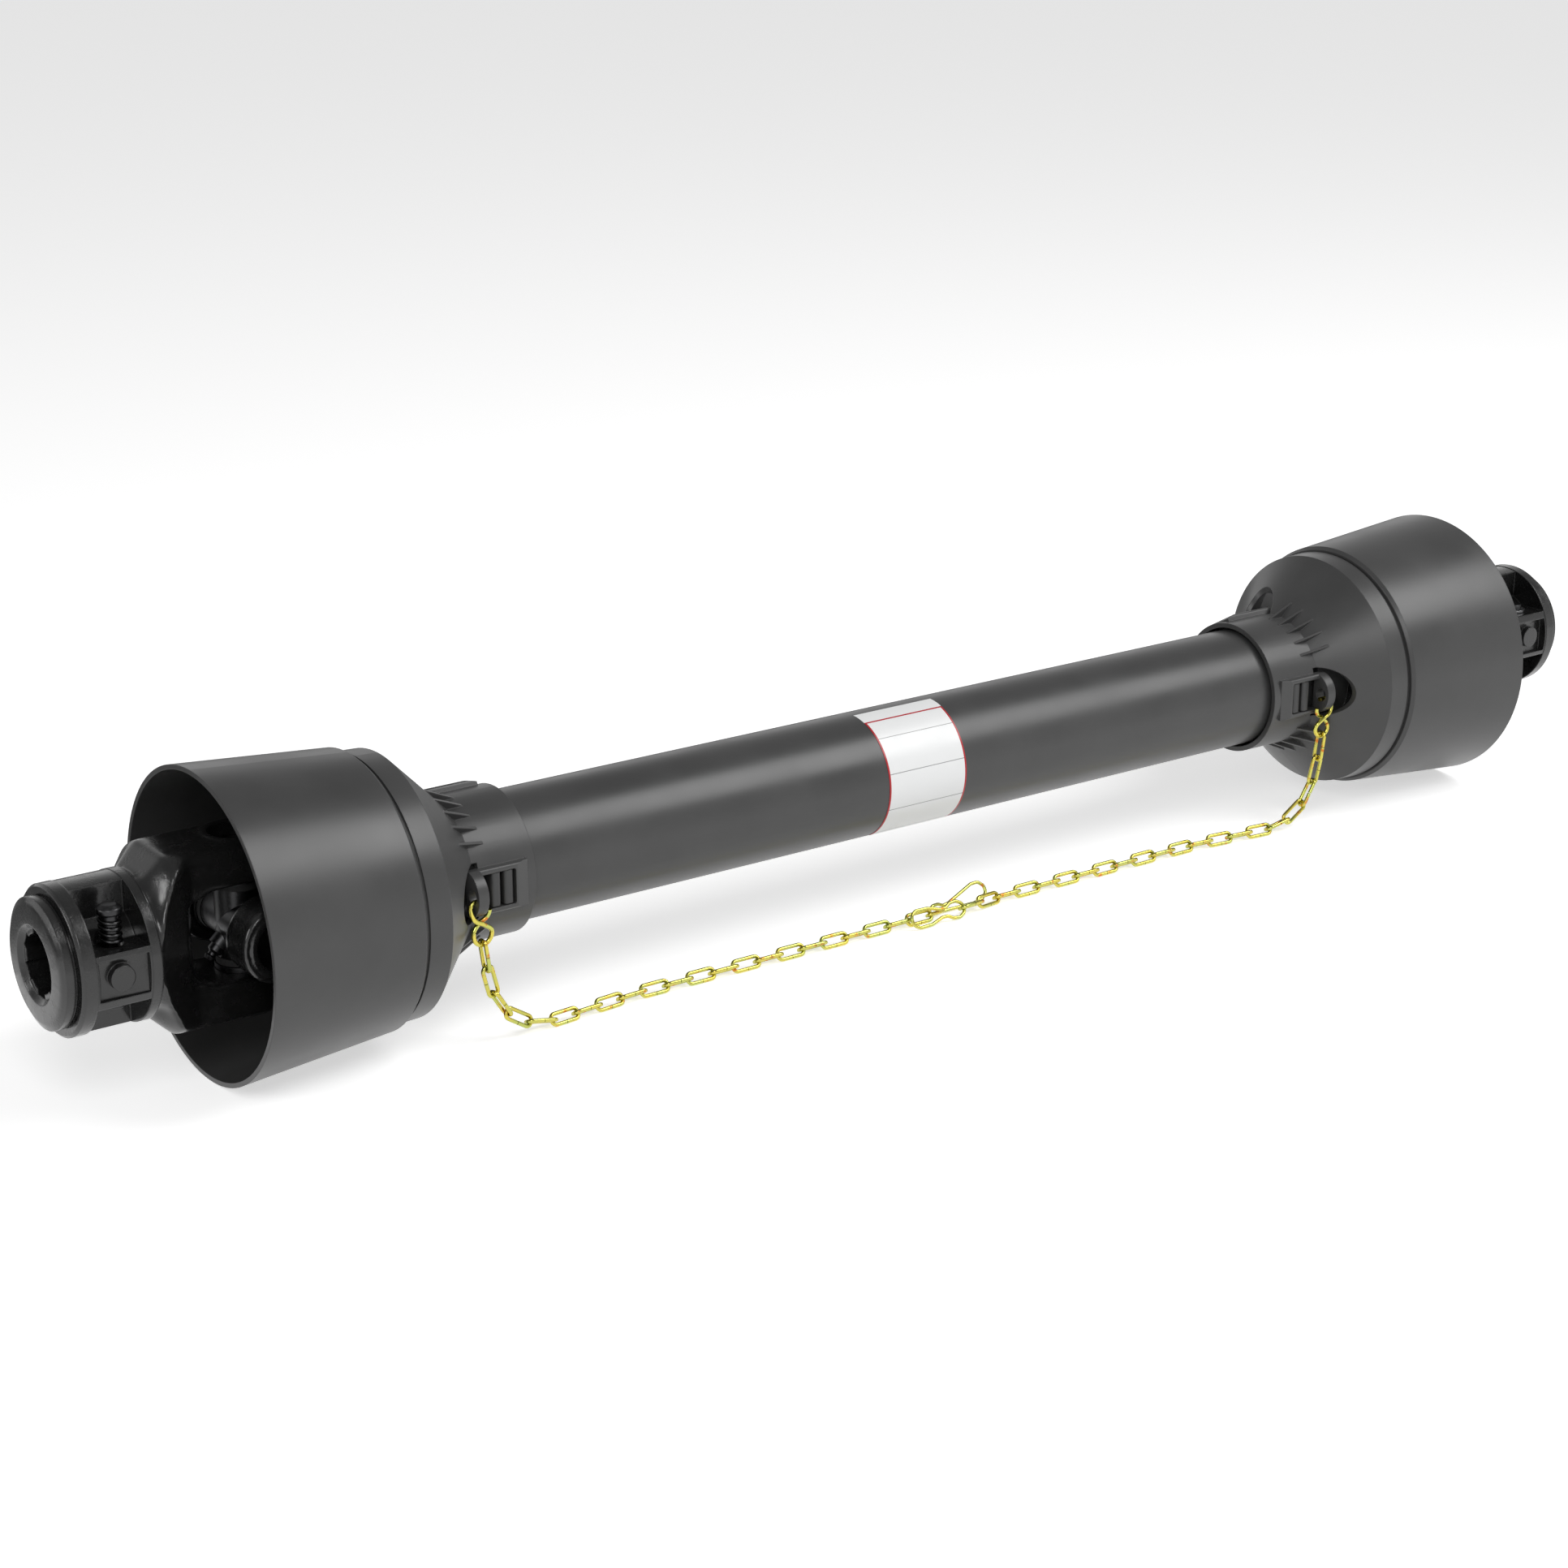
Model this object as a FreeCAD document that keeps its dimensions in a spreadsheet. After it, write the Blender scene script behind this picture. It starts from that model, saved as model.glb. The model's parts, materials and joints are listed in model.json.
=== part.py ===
import FreeCAD, Part
import math
import os
import Sketcher

# Driving dimensions in millimetres and degrees.
# Depths are measured along the axis, inwards from a bell's mouth.
SIZES = [
    ("guard_length", 856.5, "from one bell mouth to the other, shaft closed"),
    ("mouth_radius", 81.2, "bell at its mouth, outside"),
    ("bell_wall", 2.5, "wall of the bell and of the cone"),
    ("bell_depth", 86.0, "mouth to the bell's shoulder"),
    ("bell_back_radius", 73.8, "bell at its shoulder, outside"),
    ("shoulder_drop", 1.8, "rounding of the shoulder"),
    ("groove_radius", 69.9, "bottom of the groove behind the shoulder"),
    ("groove_width", 2.0, "groove behind the shoulder"),
    ("ring_radius", 71.0, "ring behind the groove"),
    ("ring_back_radius", 70.4, "ring where the cone starts"),
    ("ring_width", 13.0, "ring between the groove and the cone"),
    ("collar_wall", 2.9, "wall of the collar round the guard tube"),
    ("collar_gap", 1.6, "collar bore over the guard tube"),
    ("collar_length", 36.0, "collar from the cone to its open end"),
    ("latch_lead", 4.0, "latch box, length on the cone side"),
    ("latch_length", 35.0, "latch box"),
    ("latch_half_width", 12.3, "latch box, half of its width"),
    ("latch_rise", 2.0, "latch box above the collar"),
    ("latch_ramp", 7.0, "slope at the latch box's inner end"),
    ("latch_rounding", 1.6, "long edges of the latch box"),
    ("window_corner", 1.2, "rounding of the latch window's corners"),
    ("window_half_width", 9.5, "latch window, half of its width"),
    ("window_length", 27.0, "latch window"),
    ("cutout_radius", 15.0, "round end of the cut-out in the cone"),
    ("eye_thickness", 6.0, "chain eye along the axis"),
    ("eye_peak_radius", 50.2, "chain eye, outermost point from the axis"),
    ("eye_hole_radius", 3.9, "hole for the chain hook"),
    ("eye_rim", 2.6, "eye between its hole and its outer edge"),
    ("rib_thickness", 1.4, "gusset between cone and collar"),
    ("rib_on_cone", 8.6, "gusset's length on the cone"),
    ("rib_on_collar", 9.4, "gusset's length on the collar"),
    ("rib_pitch", 12.0, "angle between two gussets"),
    ("guard_tube_radius", 35.0, "outer guard tube, outside"),
    ("guard_tube_wall", 3.0, "outer guard tube"),
    ("guard_slide_gap", 0.5, "inner guard tube inside the outer one"),
    ("inner_guard_wall", 2.5, "inner guard tube"),
    ("guard_end_gap", 4.5, "free end of a guard tube before the latch window"),
    ("lobe_offset", 15.0, "drive tubes: axis to the centre of each lobe"),
    ("lobe_radius", 12.0, "outer drive tube: outside of a lobe"),
    ("drive_wall", 4.0, "wall of both drive tubes"),
    ("drive_slide_gap", 0.3, "inner drive tube inside the outer one"),
    ("socket_gap", 0.03, "drive tube in its yoke"),
    ("cross_inset", 22.0, "mouth to the centre of the cross"),
    ("cross_span", 74.6, "cross over its bearing caps"),
    ("cap_radius", 13.5, "bearing cap"),
    ("cap_length", 15.5, "bearing cap"),
    ("cap_floor", 2.6, "end wall of a bearing cap"),
    ("cap_gap", 0.02, "cap in the bore of its ear"),
    ("trunnion_radius", 8.2, "arm of the cross"),
    ("trunnion_gap", 0.06, "arm in the cap's bore"),
    ("end_gap", 0.3, "arm's end to the cap's floor, and cap to seal"),
    ("cross_hub_radius", 12.0, "shoulder of each arm"),
    ("seal_height", 3.4, "seal on an arm"),
    ("seal_radius", 12.6, "seal on an arm"),
    ("clip_thickness", 1.5, "circlip"),
    ("clip_depth", 1.1, "circlip's groove in the ear"),
    ("clip_width", 3.0, "circlip, across its ring"),
    ("clip_opening", 9.0, "circlip's open end"),
    ("ear_lip", 8.7, "ear beyond the bearing cap"),
    ("ear_thickness", 21.5, "ear along its bore"),
    ("ear_radius", 20.5, "round end of an ear"),
    ("throat_depth", 34.0, "cross centre to the bottom of the fork"),
    ("throat_corner", 13.0, "implement yoke: rounding at the bottom of the fork"),
    ("tube_throat_corner", 5.0, "tube yoke: rounding at the bottom of the fork"),
    ("ear_ring_width", 3.2, "raised ring round the cap's bore"),
    ("ear_ring_height", 0.8, "raised ring round the cap's bore"),
    ("flare_length", 11.0, "shoulder between hub and fork"),
    ("ear_crown", 2.6, "turned edge of a fork beyond the ear's face"),
    ("swing_angle", 30.0, "largest angle of the joint"),
    ("swing_gap", 0.5, "swinging ear to the other fork"),
    ("outer_root", 57.0, "implement yoke: cross centre to the hub"),
    ("outer_root_radius", 37.5, "implement yoke: hub next to the fork"),
    ("rear_ring_width", 7.0, "implement yoke: ring behind the pin pocket"),
    ("pin_pocket_length", 28.0, "implement yoke: pocket of the push pin"),
    ("flange_width", 8.0, "implement yoke: flange before the pocket"),
    ("flange_radius", 38.0, "implement yoke: flange"),
    ("nose_length", 8.0, "implement yoke: nose"),
    ("nose_radius", 33.0, "implement yoke: nose"),
    ("nose_chamfer", 4.5, "implement yoke: bevel at the nose"),
    ("edge_chamfer", 1.5, "small bevels of the castings"),
    ("spline_minor_radius", 14.85, "splined bore, over its teeth"),
    ("spline_major_radius", 17.45, "splined bore, in its grooves"),
    ("spline_slot_width", 8.8, "groove of the splined bore"),
    ("spline_lead", 2.4, "bevel at the mouth of the splined bore"),
    ("bore_wall", 4.55, "metal between bore and pocket"),
    ("pocket_back", 8.0, "back wall of the pin pocket from the axis"),
    ("pocket_floor", 11.2, "upper pocket's floor above the axis"),
    ("pocket_roof", 16.0, "lower pocket's roof below the axis"),
    ("pad_top", 8.4, "sunk pad's upper edge above the axis"),
    ("pad_bottom", 11.8, "sunk pad's lower edge below the axis"),
    ("pad_depth_from_axis", 34.0, "face of the sunk pad from the axis"),
    ("boss_radius", 6.3, "round boss on the sunk pad"),
    ("boss_height", 1.6, "round boss on the sunk pad"),
    ("pin_radius", 6.3, "push pin"),
    ("pin_gap", 0.06, "push pin in its hole"),
    ("pin_offset", 21.5, "push pin's axis from the shaft's axis"),
    ("pin_room", 1.3, "room round the pin in both pockets"),
    ("pin_stem_radius", 4.4, "push pin inside its spring"),
    ("pin_waist_radius", 3.4, "push pin where the shaft may pass"),
    ("button_top", 31.5, "push pin's head above the axis"),
    ("button_height", 5.0, "push pin's head"),
    ("pin_tail", 21.0, "push pin's tail below the axis"),
    ("tail_radius", 5.0, "push pin's tail"),
    ("tail_groove", 0.9, "groove for the pin's clip"),
    ("pin_clip_radius", 7.0, "clip on the pin's tail"),
    ("pin_clip_thickness", 1.3, "clip on the pin's tail"),
    ("spring_wire_radius", 0.6, "push pin's spring"),
    ("spring_turns", 4.5, "push pin's spring"),
    ("tube_root", 42.0, "tube yoke: cross centre to the tube's end"),
    ("tube_hub_root", 50.0, "tube yoke: cross centre to the round hub"),
    ("tube_hub_radius", 32.0, "tube yoke: hub"),
    ("tube_hub_lip", 6.0, "tube yoke: hub beyond the bearing groove"),
    ("bearing_groove_lead", 16.0, "tube yoke: bearing groove before the latch boxes"),
    ("bearing_groove_width", 6.0, "tube yoke: groove for the bearing ring"),
    ("bearing_groove_depth", 2.5, "tube yoke: groove for the bearing ring"),
    ("bearing_gap", 0.3, "bearing ring on the hub"),
    ("bearing_seat_gap", 0.2, "bearing ring in the collar"),
    ("bearing_lead", 3.0, "bearing ring outside the groove"),
    ("bearing_slit", 3.0, "slit that lets the ring open"),
    ("sleeve_wall", 3.45, "bearing ring inside the guard tube"),
    ("sleeve_gap", 0.05, "bearing ring in the guard tube"),
    ("lug_half_width", 9.1, "bearing ring's lug, half of its width"),
    ("lug_bar", 6.0, "one bar of a lug"),
    ("lug_slit", 1.6, "slit between the two bars"),
    ("lug_top", 40.9, "lug's top from the axis"),
    ("lug_rounding", 2.0, "rounding of the lug's edges"),
    ("roll_pin_radius", 5.0, "pin through yoke and tube"),
    ("roll_pin_wall", 1.7, "pin through yoke and tube"),
    ("roll_pin_slit", 1.6, "pin through yoke and tube"),
    ("roll_pin_seat", 70.0, "cross centre to the pin"),
    ("nipple_drop", 0.7, "grease nipple's base below the cross's shoulders"),
    ("nipple_boss_radius", 5.4, "boss of the cross under the nipple"),
    ("nipple_height", 8.2, "grease nipple above its base"),
    ("nipple_base_radius", 3.9, "grease nipple's hexagon"),
    ("nipple_head_radius", 3.1, "grease nipple's head"),
    ("nipple_neck_radius", 2.2, "grease nipple's neck"),
    ("nipple_shank_radius", 2.9, "grease nipple's thread"),
    ("nipple_shank", 5.0, "grease nipple's thread"),
    ("label_start", -28.0, "blank label along the tube"),
    ("label_length", 54.0, "blank label along the tube"),
    ("label_thickness", 0.15, "blank label"),
    ("label_gap", 0.03, "blank label over its tube"),
    ("label_top", 88.0, "label's upper edge, angle above the front"),
    ("label_wrap", 150.0, "label's angle round the tube"),
    ("hook_wire_radius", 1.25, "wire of the chain hook"),
    ("hook_loop_radius", 5.8, "chain hook's lower loop"),
    ("hook_loop_height", 12.0, "chain hook's lower loop"),
    ("hook_gap", 0.35, "chain hook beside the eye"),
    ("chain_wire_radius", 1.1, "wire of a link"),
    ("link_inside_length", 14.9, "opening of a link"),
    ("link_inside_width", 3.6, "opening of a link"),
    ("link_gap", 0.1, "play between two links"),
    ("chain_lean", 32.0, "roll of the lying links"),
    ("chain_inset", 39.0, "lying chain in front of the axis"),
    ("floor_gap", 0.3, "chain above the floor"),
    ("left_chain_end", 2.2, "left chain's free end along the axis"),
    ("right_chain_end", 21.4, "right chain's free end along the axis"),
    ("snap_wire_radius", 1.0, "wire of a snap hook"),
    ("snap_gap", 0.4, "snap hook beside the chain"),
]

ENDS = ("left", "right")
RIB_COUNT = 5
LATCH_COUNT = 3
SPLINE_COUNT = 6
WIRE_SIDES = 6


class Size:
    """A number together with the sheet expression that gives it."""

    def __init__(self, value, text):
        self.value = float(value)
        self.text = text

    def __add__(self, other):
        other = as_size(other)
        return Size(self.value + other.value, "(%s + %s)" % (self.text, other.text))

    def __sub__(self, other):
        other = as_size(other)
        return Size(self.value - other.value, "(%s - %s)" % (self.text, other.text))

    def __mul__(self, other):
        other = as_size(other)
        return Size(self.value * other.value, "(%s * %s)" % (self.text, other.text))

    def __truediv__(self, other):
        other = as_size(other)
        return Size(self.value / other.value, "(%s / %s)" % (self.text, other.text))

    def __neg__(self):
        return Size(-self.value, "(0 - %s)" % self.text)


def as_size(number):
    if isinstance(number, Size):
        return number
    return Size(number, "%.6f" % number)


def root(size):
    return Size(math.sqrt(size.value), "sqrt(%s)" % size.text)


class Sheet:
    """Attribute access to the driving dimensions."""

    def __init__(self, sizes):
        for alias, value, meaning in sizes:
            setattr(self, alias, Size(value, "Sizes." + alias))


s = Sheet(SIZES)

# Sizes that follow from the driving ones.
HALF = s.guard_length / 2
GROOVE_END = s.bell_depth + s.shoulder_drop + s.groove_width
CONE_START = GROOVE_END + s.ring_width
COLLAR_BORE = s.guard_tube_radius + s.collar_gap
COLLAR_RADIUS = COLLAR_BORE + s.collar_wall
CONE_END = CONE_START + s.ring_back_radius - COLLAR_RADIUS
LATCH_START = CONE_END - s.latch_lead
LATCH_RADIUS = COLLAR_RADIUS + s.latch_rise
WINDOW_END = LATCH_START + s.window_length
GUARD_BORE = s.guard_tube_radius - s.guard_tube_wall
INNER_GUARD_RADIUS = GUARD_BORE - s.guard_slide_gap
INNER_GUARD_BORE = INNER_GUARD_RADIUS - s.inner_guard_wall
EYE_HOLE_OUT = s.eye_peak_radius - s.eye_rim - s.eye_hole_radius
CAP_INSIDE = s.cross_span / 2 - s.cap_length
CROSS_HUB_REACH = CAP_INSIDE - s.end_gap - s.seal_height
NIPPLE_SEAT = CROSS_HUB_REACH - s.nipple_drop
EAR_REACH = s.cross_span / 2 + s.ear_lip
EAR_INSIDE = EAR_REACH - s.ear_thickness
FORK_ENVELOPE = EAR_REACH + s.ear_crown
BEARING_GROOVE_END = LATCH_START - s.cross_inset - s.bearing_groove_lead
TUBE_HUB_END = BEARING_GROOVE_END + s.tube_hub_lip
SHANK_END = s.outer_root + s.rear_ring_width + s.pin_pocket_length
PIN_DEPTH = SHANK_END - s.pin_pocket_length / 2 - 0.5
NOSE_END = SHANK_END + s.flange_width + s.nose_length
BORE_SHELL = s.spline_major_radius + s.bore_wall
HUB_FLOOR = s.throat_depth - 2.0


def bind(item, name, size):
    """Ties one property of an object to the sheet."""
    item.setExpression(name, as_size(size).text)


def make_sheet(doc):
    sheet = doc.addObject("Spreadsheet::Sheet", "Sizes")
    for row, (alias, value, meaning) in enumerate(SIZES, start=1):
        sheet.set("A%d" % row, alias)
        sheet.set("B%d" % row, repr(value))
        sheet.set("C%d" % row, meaning)
        sheet.setAlias("B%d" % row, alias)
    doc.recompute()


def place(item, end, depth, across=0.0, up=0.0, turn=None):
    """Puts an object at a depth behind the mouth of one end.

    The right end is the left end turned half round about Y."""
    turn = turn or FreeCAD.Rotation()
    depth = as_size(depth)
    across = as_size(across)
    up = as_size(up)
    if end == "right":
        position = HALF - depth
        up = -up
        turn = FreeCAD.Rotation(FreeCAD.Vector(0, 1, 0), 180).multiply(turn)
    else:
        position = depth - HALF
    base = FreeCAD.Vector(position.value, across.value, up.value)
    item.Placement = FreeCAD.Placement(base, turn)
    bind(item, "Placement.Base.x", position)
    bind(item, "Placement.Base.y", across)
    bind(item, "Placement.Base.z", up)


def new_body(doc, label):
    body = doc.addObject("PartDesign::Body", label)
    body.Label = label
    return body


def new_sketch(body, plane, name, offset=None, turn=None):
    """Sketch on an origin plane of its body, moved along the plane's normal.

    XZ_Plane looks along +Y, so a positive offset there goes to -Y."""
    support = [part for part in body.Origin.OriginFeatures if part.Role == plane][0]
    sketch = body.newObject("Sketcher::SketchObject", name)
    sketch.AttachmentSupport = [(support, "")]
    sketch.MapMode = "FlatFace"
    offset = as_size(offset or 0.0)
    turn = turn or FreeCAD.Rotation()
    sketch.AttachmentOffset = FreeCAD.Placement(FreeCAD.Vector(0, 0, offset.value), turn)
    bind(sketch, "AttachmentOffset.Base.z", offset)
    return sketch


def dimension(sketch, kind, arguments, size):
    index = sketch.addConstraint(Sketcher.Constraint(kind, *arguments, size.value))
    sketch.setExpression("Constraints[%d]" % index, size.text)


def pin_point(sketch, edge, end, point):
    """Ties one end of an edge to the sheet by its two coordinates."""
    dimension(sketch, "DistanceX", (-1, 1, edge, end), point[0])
    dimension(sketch, "DistanceY", (-1, 1, edge, end), point[1])


def arc_between(start, finish, radius):
    """Short arc of a signed radius; a positive one turns left on its way."""
    chord = finish - start
    middle = (start + finish) * 0.5
    size = abs(radius)
    height = math.sqrt(max(size * size - chord.Length * chord.Length / 4.0, 0.0))
    left = FreeCAD.Vector(-chord.y, chord.x, 0) / chord.Length
    centre = middle + left * (height if radius > 0 else -height)
    ends = (start, finish) if radius > 0 else (finish, start)
    angles = [math.atan2(point.y - centre.y, point.x - centre.x) for point in ends]
    circle = Part.Circle(centre, FreeCAD.Vector(0, 0, 1), size)
    return Part.ArcOfCircle(circle, angles[0], angles[1])


def outline(sketch, corners, arcs=None):
    """Closed outline; arcs gives a signed radius to the side after a corner."""
    arcs = arcs or {}
    corners = [(as_size(x), as_size(y)) for x, y in corners]
    points = [FreeCAD.Vector(x.value, y.value, 0) for x, y in corners]
    sides = []
    for index, start in enumerate(points):
        finish = points[(index + 1) % len(points)]
        radius = arcs.get(index)
        if radius is None:
            edge = sketch.addGeometry(Part.LineSegment(start, finish), False)
            sides.append((edge, 1, 2))
            continue
        edge = sketch.addGeometry(arc_between(start, finish, radius.value), False)
        sides.append((edge, 1, 2) if radius.value > 0 else (edge, 2, 1))
        length = radius if radius.value > 0 else -radius
        dimension(sketch, "Radius", (edge,), length)
    for index, (edge, first, last) in enumerate(sides):
        before = sides[index - 1]
        sketch.addConstraint(Sketcher.Constraint("Coincident", before[0], before[2], edge, first))
        pin_point(sketch, edge, first, corners[index])


def circle(sketch, x, y, radius):
    x, y, radius = as_size(x), as_size(y), as_size(radius)
    centre = FreeCAD.Vector(x.value, y.value, 0)
    shape = Part.Circle(centre, FreeCAD.Vector(0, 0, 1), radius.value)
    edge = sketch.addGeometry(shape, False)
    dimension(sketch, "Radius", (edge,), radius)
    pin_point(sketch, edge, 3, (x, y))


def lobes(sketch, offset, radius, heading):
    """Rounded triangle: three lobes joined by their tangents."""
    arcs = []
    lines = []
    headings = [heading, heading + 120, heading + 240]
    for degrees in headings:
        heading = math.radians(degrees)
        centre = FreeCAD.Vector(math.cos(heading), math.sin(heading), 0) * offset.value
        form = Part.Circle(centre, FreeCAD.Vector(0, 0, 1), radius.value)
        spread = math.radians(60)
        arc = Part.ArcOfCircle(form, heading - spread, heading + spread)
        arcs.append(sketch.addGeometry(arc, False))
        after = heading + math.radians(120)
        side = heading + spread
        outwards = FreeCAD.Vector(math.cos(side), math.sin(side), 0) * radius.value
        next_centre = FreeCAD.Vector(math.cos(after), math.sin(after), 0) * offset.value
        line = Part.LineSegment(centre + outwards, next_centre + outwards)
        lines.append(sketch.addGeometry(line, False))
    for index, arc in enumerate(arcs):
        heading = math.radians(headings[index])
        x = offset * round(math.cos(heading), 9)
        y = offset * round(math.sin(heading), 9)
        dimension(sketch, "Radius", (arc,), radius)
        pin_point(sketch, arc, 3, (x, y))
        following = arcs[(index + 1) % 3]
        sketch.addConstraint(Sketcher.Constraint("Tangent", arc, 2, lines[index], 1))
        sketch.addConstraint(Sketcher.Constraint("Tangent", lines[index], 2, following, 1))


def revolve(body, sketch, name, axis="H_Axis", angle=360.0):
    feature = body.newObject("PartDesign::Revolution", name)
    feature.Profile = sketch
    feature.ReferenceAxis = (sketch, [axis])
    feature.Angle = 360
    bind(feature, "Angle", angle)
    return feature


def turn_off(body, sketch, name, axis="H_Axis"):
    """Removes a revolved ring."""
    feature = body.newObject("PartDesign::Groove", name)
    feature.Profile = sketch
    feature.ReferenceAxis = (sketch, [axis])
    feature.Angle = 360
    return feature


def pad(body, sketch, name, length, both=False, reverse=False):
    feature = body.newObject("PartDesign::Pad", name)
    feature.Profile = sketch
    feature.SideType = "Symmetric" if both else "One side"
    feature.Reversed = reverse
    bind(feature, "Length", length)
    return feature


def cut(body, sketch, name, length=None, both=False, reverse=False):
    """Pocket: it goes against the sketch's normal unless it is reversed."""
    feature = body.newObject("PartDesign::Pocket", name)
    feature.Profile = sketch
    feature.SideType = "Symmetric" if both else "One side"
    feature.Reversed = reverse
    if length is None:
        feature.Type = "ThroughAll"
    else:
        bind(feature, "Length", length)
    return feature


def repeat_round(body, features, sketch, name, count, axis="H_Axis"):
    pattern = body.newObject("PartDesign::PolarPattern", name)
    pattern.Originals = features
    pattern.Axis = (sketch, [axis])
    pattern.Angle = 360
    pattern.Occurrences = count
    body.Tip = pattern
    return pattern


# Guard cones

def cone_profile(body):
    """Bell, ring, cone and collar: one moulded wall."""
    sketch = new_sketch(body, "XZ_Plane", "WallProfile")
    lean = s.bell_wall * 0.4142
    inside_ring = s.ring_back_radius - s.bell_wall
    outline(sketch, [
        (0, s.mouth_radius),
        (s.bell_depth, s.bell_back_radius),
        (s.bell_depth + s.shoulder_drop, s.bell_back_radius - s.shoulder_drop),
        (s.bell_depth + s.shoulder_drop, s.groove_radius),
        (GROOVE_END, s.groove_radius),
        (GROOVE_END, s.ring_radius),
        (CONE_START, s.ring_back_radius),
        (CONE_END, COLLAR_RADIUS),
        (CONE_END + s.collar_length, COLLAR_RADIUS),
        (CONE_END + s.collar_length, COLLAR_BORE),
        (CONE_END - lean, COLLAR_BORE),
        (CONE_START - lean, inside_ring),
        (s.bell_depth - s.bell_wall, inside_ring),
        (s.bell_depth - s.bell_wall * 2, s.bell_back_radius - s.bell_wall),
        (0, s.mouth_radius - s.bell_wall),
    ])
    revolve(body, sketch, "Wall")
    return sketch


def cone_cutout(body):
    """Opening in the cone that lets the chain hook in."""
    sketch = new_sketch(body, "XZ_Plane", "CutoutOutline")
    centre = CONE_END - 1.0
    outline(sketch, [
        (centre, -s.cutout_radius),
        (centre + s.latch_lead, -s.cutout_radius),
        (centre + s.latch_lead, s.cutout_radius),
        (centre, s.cutout_radius),
        (centre - s.cutout_radius, 0),
    ], {3: s.cutout_radius, 4: s.cutout_radius})
    return cut(body, sketch, "Cutout", s.mouth_radius, reverse=True)


def cone_rib(body, number):
    """Thin gusset in the corner between cone and collar."""
    middle = as_size(180.0 / LATCH_COUNT)
    angle = middle + s.rib_pitch * (number - (RIB_COUNT - 1) / 2.0)
    sketch = new_sketch(body, "XY_Plane", "RibOutline%d" % number)
    turn = FreeCAD.Rotation(FreeCAD.Vector(1, 0, 0), 180.0 - angle.value)
    sketch.AttachmentOffset = FreeCAD.Placement(FreeCAD.Vector(0, 0, 0), turn)
    foot = COLLAR_RADIUS - s.collar_wall / 2
    outline(sketch, [
        (CONE_END - s.rib_on_cone, COLLAR_RADIUS + s.rib_on_cone - 0.3),
        (CONE_END - s.rib_on_cone, COLLAR_RADIUS + s.rib_on_cone - s.bell_wall),
        (CONE_END, foot),
        (CONE_END + s.rib_on_collar, foot),
        (CONE_END + s.rib_on_collar, COLLAR_RADIUS + 0.2),
    ])
    return pad(body, sketch, "Rib%d" % number, s.rib_thickness, both=True)


def cone_latch_box(body):
    """Raised box over the bearing ring's lug, sloped at its inner end."""
    sketch = new_sketch(body, "YZ_Plane", "LatchSection", LATCH_START)
    foot = COLLAR_BORE + 0.3
    half = s.latch_half_width
    soft = s.latch_rounding
    outline(sketch, [
        (-foot, half),
        (-(LATCH_RADIUS - soft), half),
        (-LATCH_RADIUS, half - soft),
        (-LATCH_RADIUS, -(half - soft)),
        (-(LATCH_RADIUS - soft), -half),
        (-foot, -half),
    ], {1: soft, 3: soft})
    box = pad(body, sketch, "LatchBox", s.latch_length)
    slope = new_sketch(body, "XY_Plane", "LatchSlopeOutline")
    finish = LATCH_START + s.latch_length
    outline(slope, [
        (finish - s.latch_ramp, -LATCH_RADIUS),
        (finish - s.latch_ramp, -(LATCH_RADIUS + 1.0)),
        (finish + 1.0, -(LATCH_RADIUS + 1.0)),
        (finish + 1.0, -(COLLAR_RADIUS + 0.1)),
        (finish, -(COLLAR_RADIUS + 0.1)),
    ])
    ramp = cut(body, slope, "LatchSlope", s.latch_half_width * 4, both=True)
    return [box, ramp]


def cone_window(body):
    sketch = new_sketch(body, "XZ_Plane", "WindowOutline")
    half = s.window_half_width
    soft = s.window_corner
    outline(sketch, [
        (LATCH_START - 1.0, -half),
        (WINDOW_END - soft, -half),
        (WINDOW_END, -(half - soft)),
        (WINDOW_END, half - soft),
        (WINDOW_END - soft, half),
        (LATCH_START - 1.0, half),
    ], {1: soft, 3: soft})
    return cut(body, sketch, "Window", s.mouth_radius, reverse=True)


def cone_eye(body):
    """Chain eye: a rounded plate across the latch box, with one hole."""
    sketch = new_sketch(body, "YZ_Plane", "EyeOutline", LATCH_START)
    shoulder = COLLAR_RADIUS
    rise = s.eye_peak_radius - shoulder
    half = s.latch_half_width
    bulge = (half * half + rise * rise) / (rise * 2)
    foot = COLLAR_BORE + 0.6
    outline(sketch, [
        (-foot, half),
        (-shoulder, half),
        (-s.eye_peak_radius, 0),
        (-shoulder, -half),
        (-foot, -half),
    ], {1: bulge, 2: bulge})
    pad(body, sketch, "Eye", s.eye_thickness)
    hole = new_sketch(body, "YZ_Plane", "EyeHoleOutline", LATCH_START + s.eye_thickness)
    circle(hole, -EYE_HOLE_OUT, 0, s.eye_hole_radius)
    cut(body, hole, "EyeHole", s.eye_thickness)


def make_guard_cone(doc, end):
    body = new_body(doc, "guard_cone_" + end)
    sketch = cone_profile(body)
    features = [cone_cutout(body)]
    features += [cone_rib(body, number) for number in range(RIB_COUNT)]
    features += cone_latch_box(body)
    features.append(cone_window(body))
    doc.recompute()
    repeat_round(body, features, sketch, "ThreeLatches", LATCH_COUNT)
    doc.recompute()
    cone_eye(body)
    place(body, end, 0)


# Guard tubes and the rings that carry them

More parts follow.
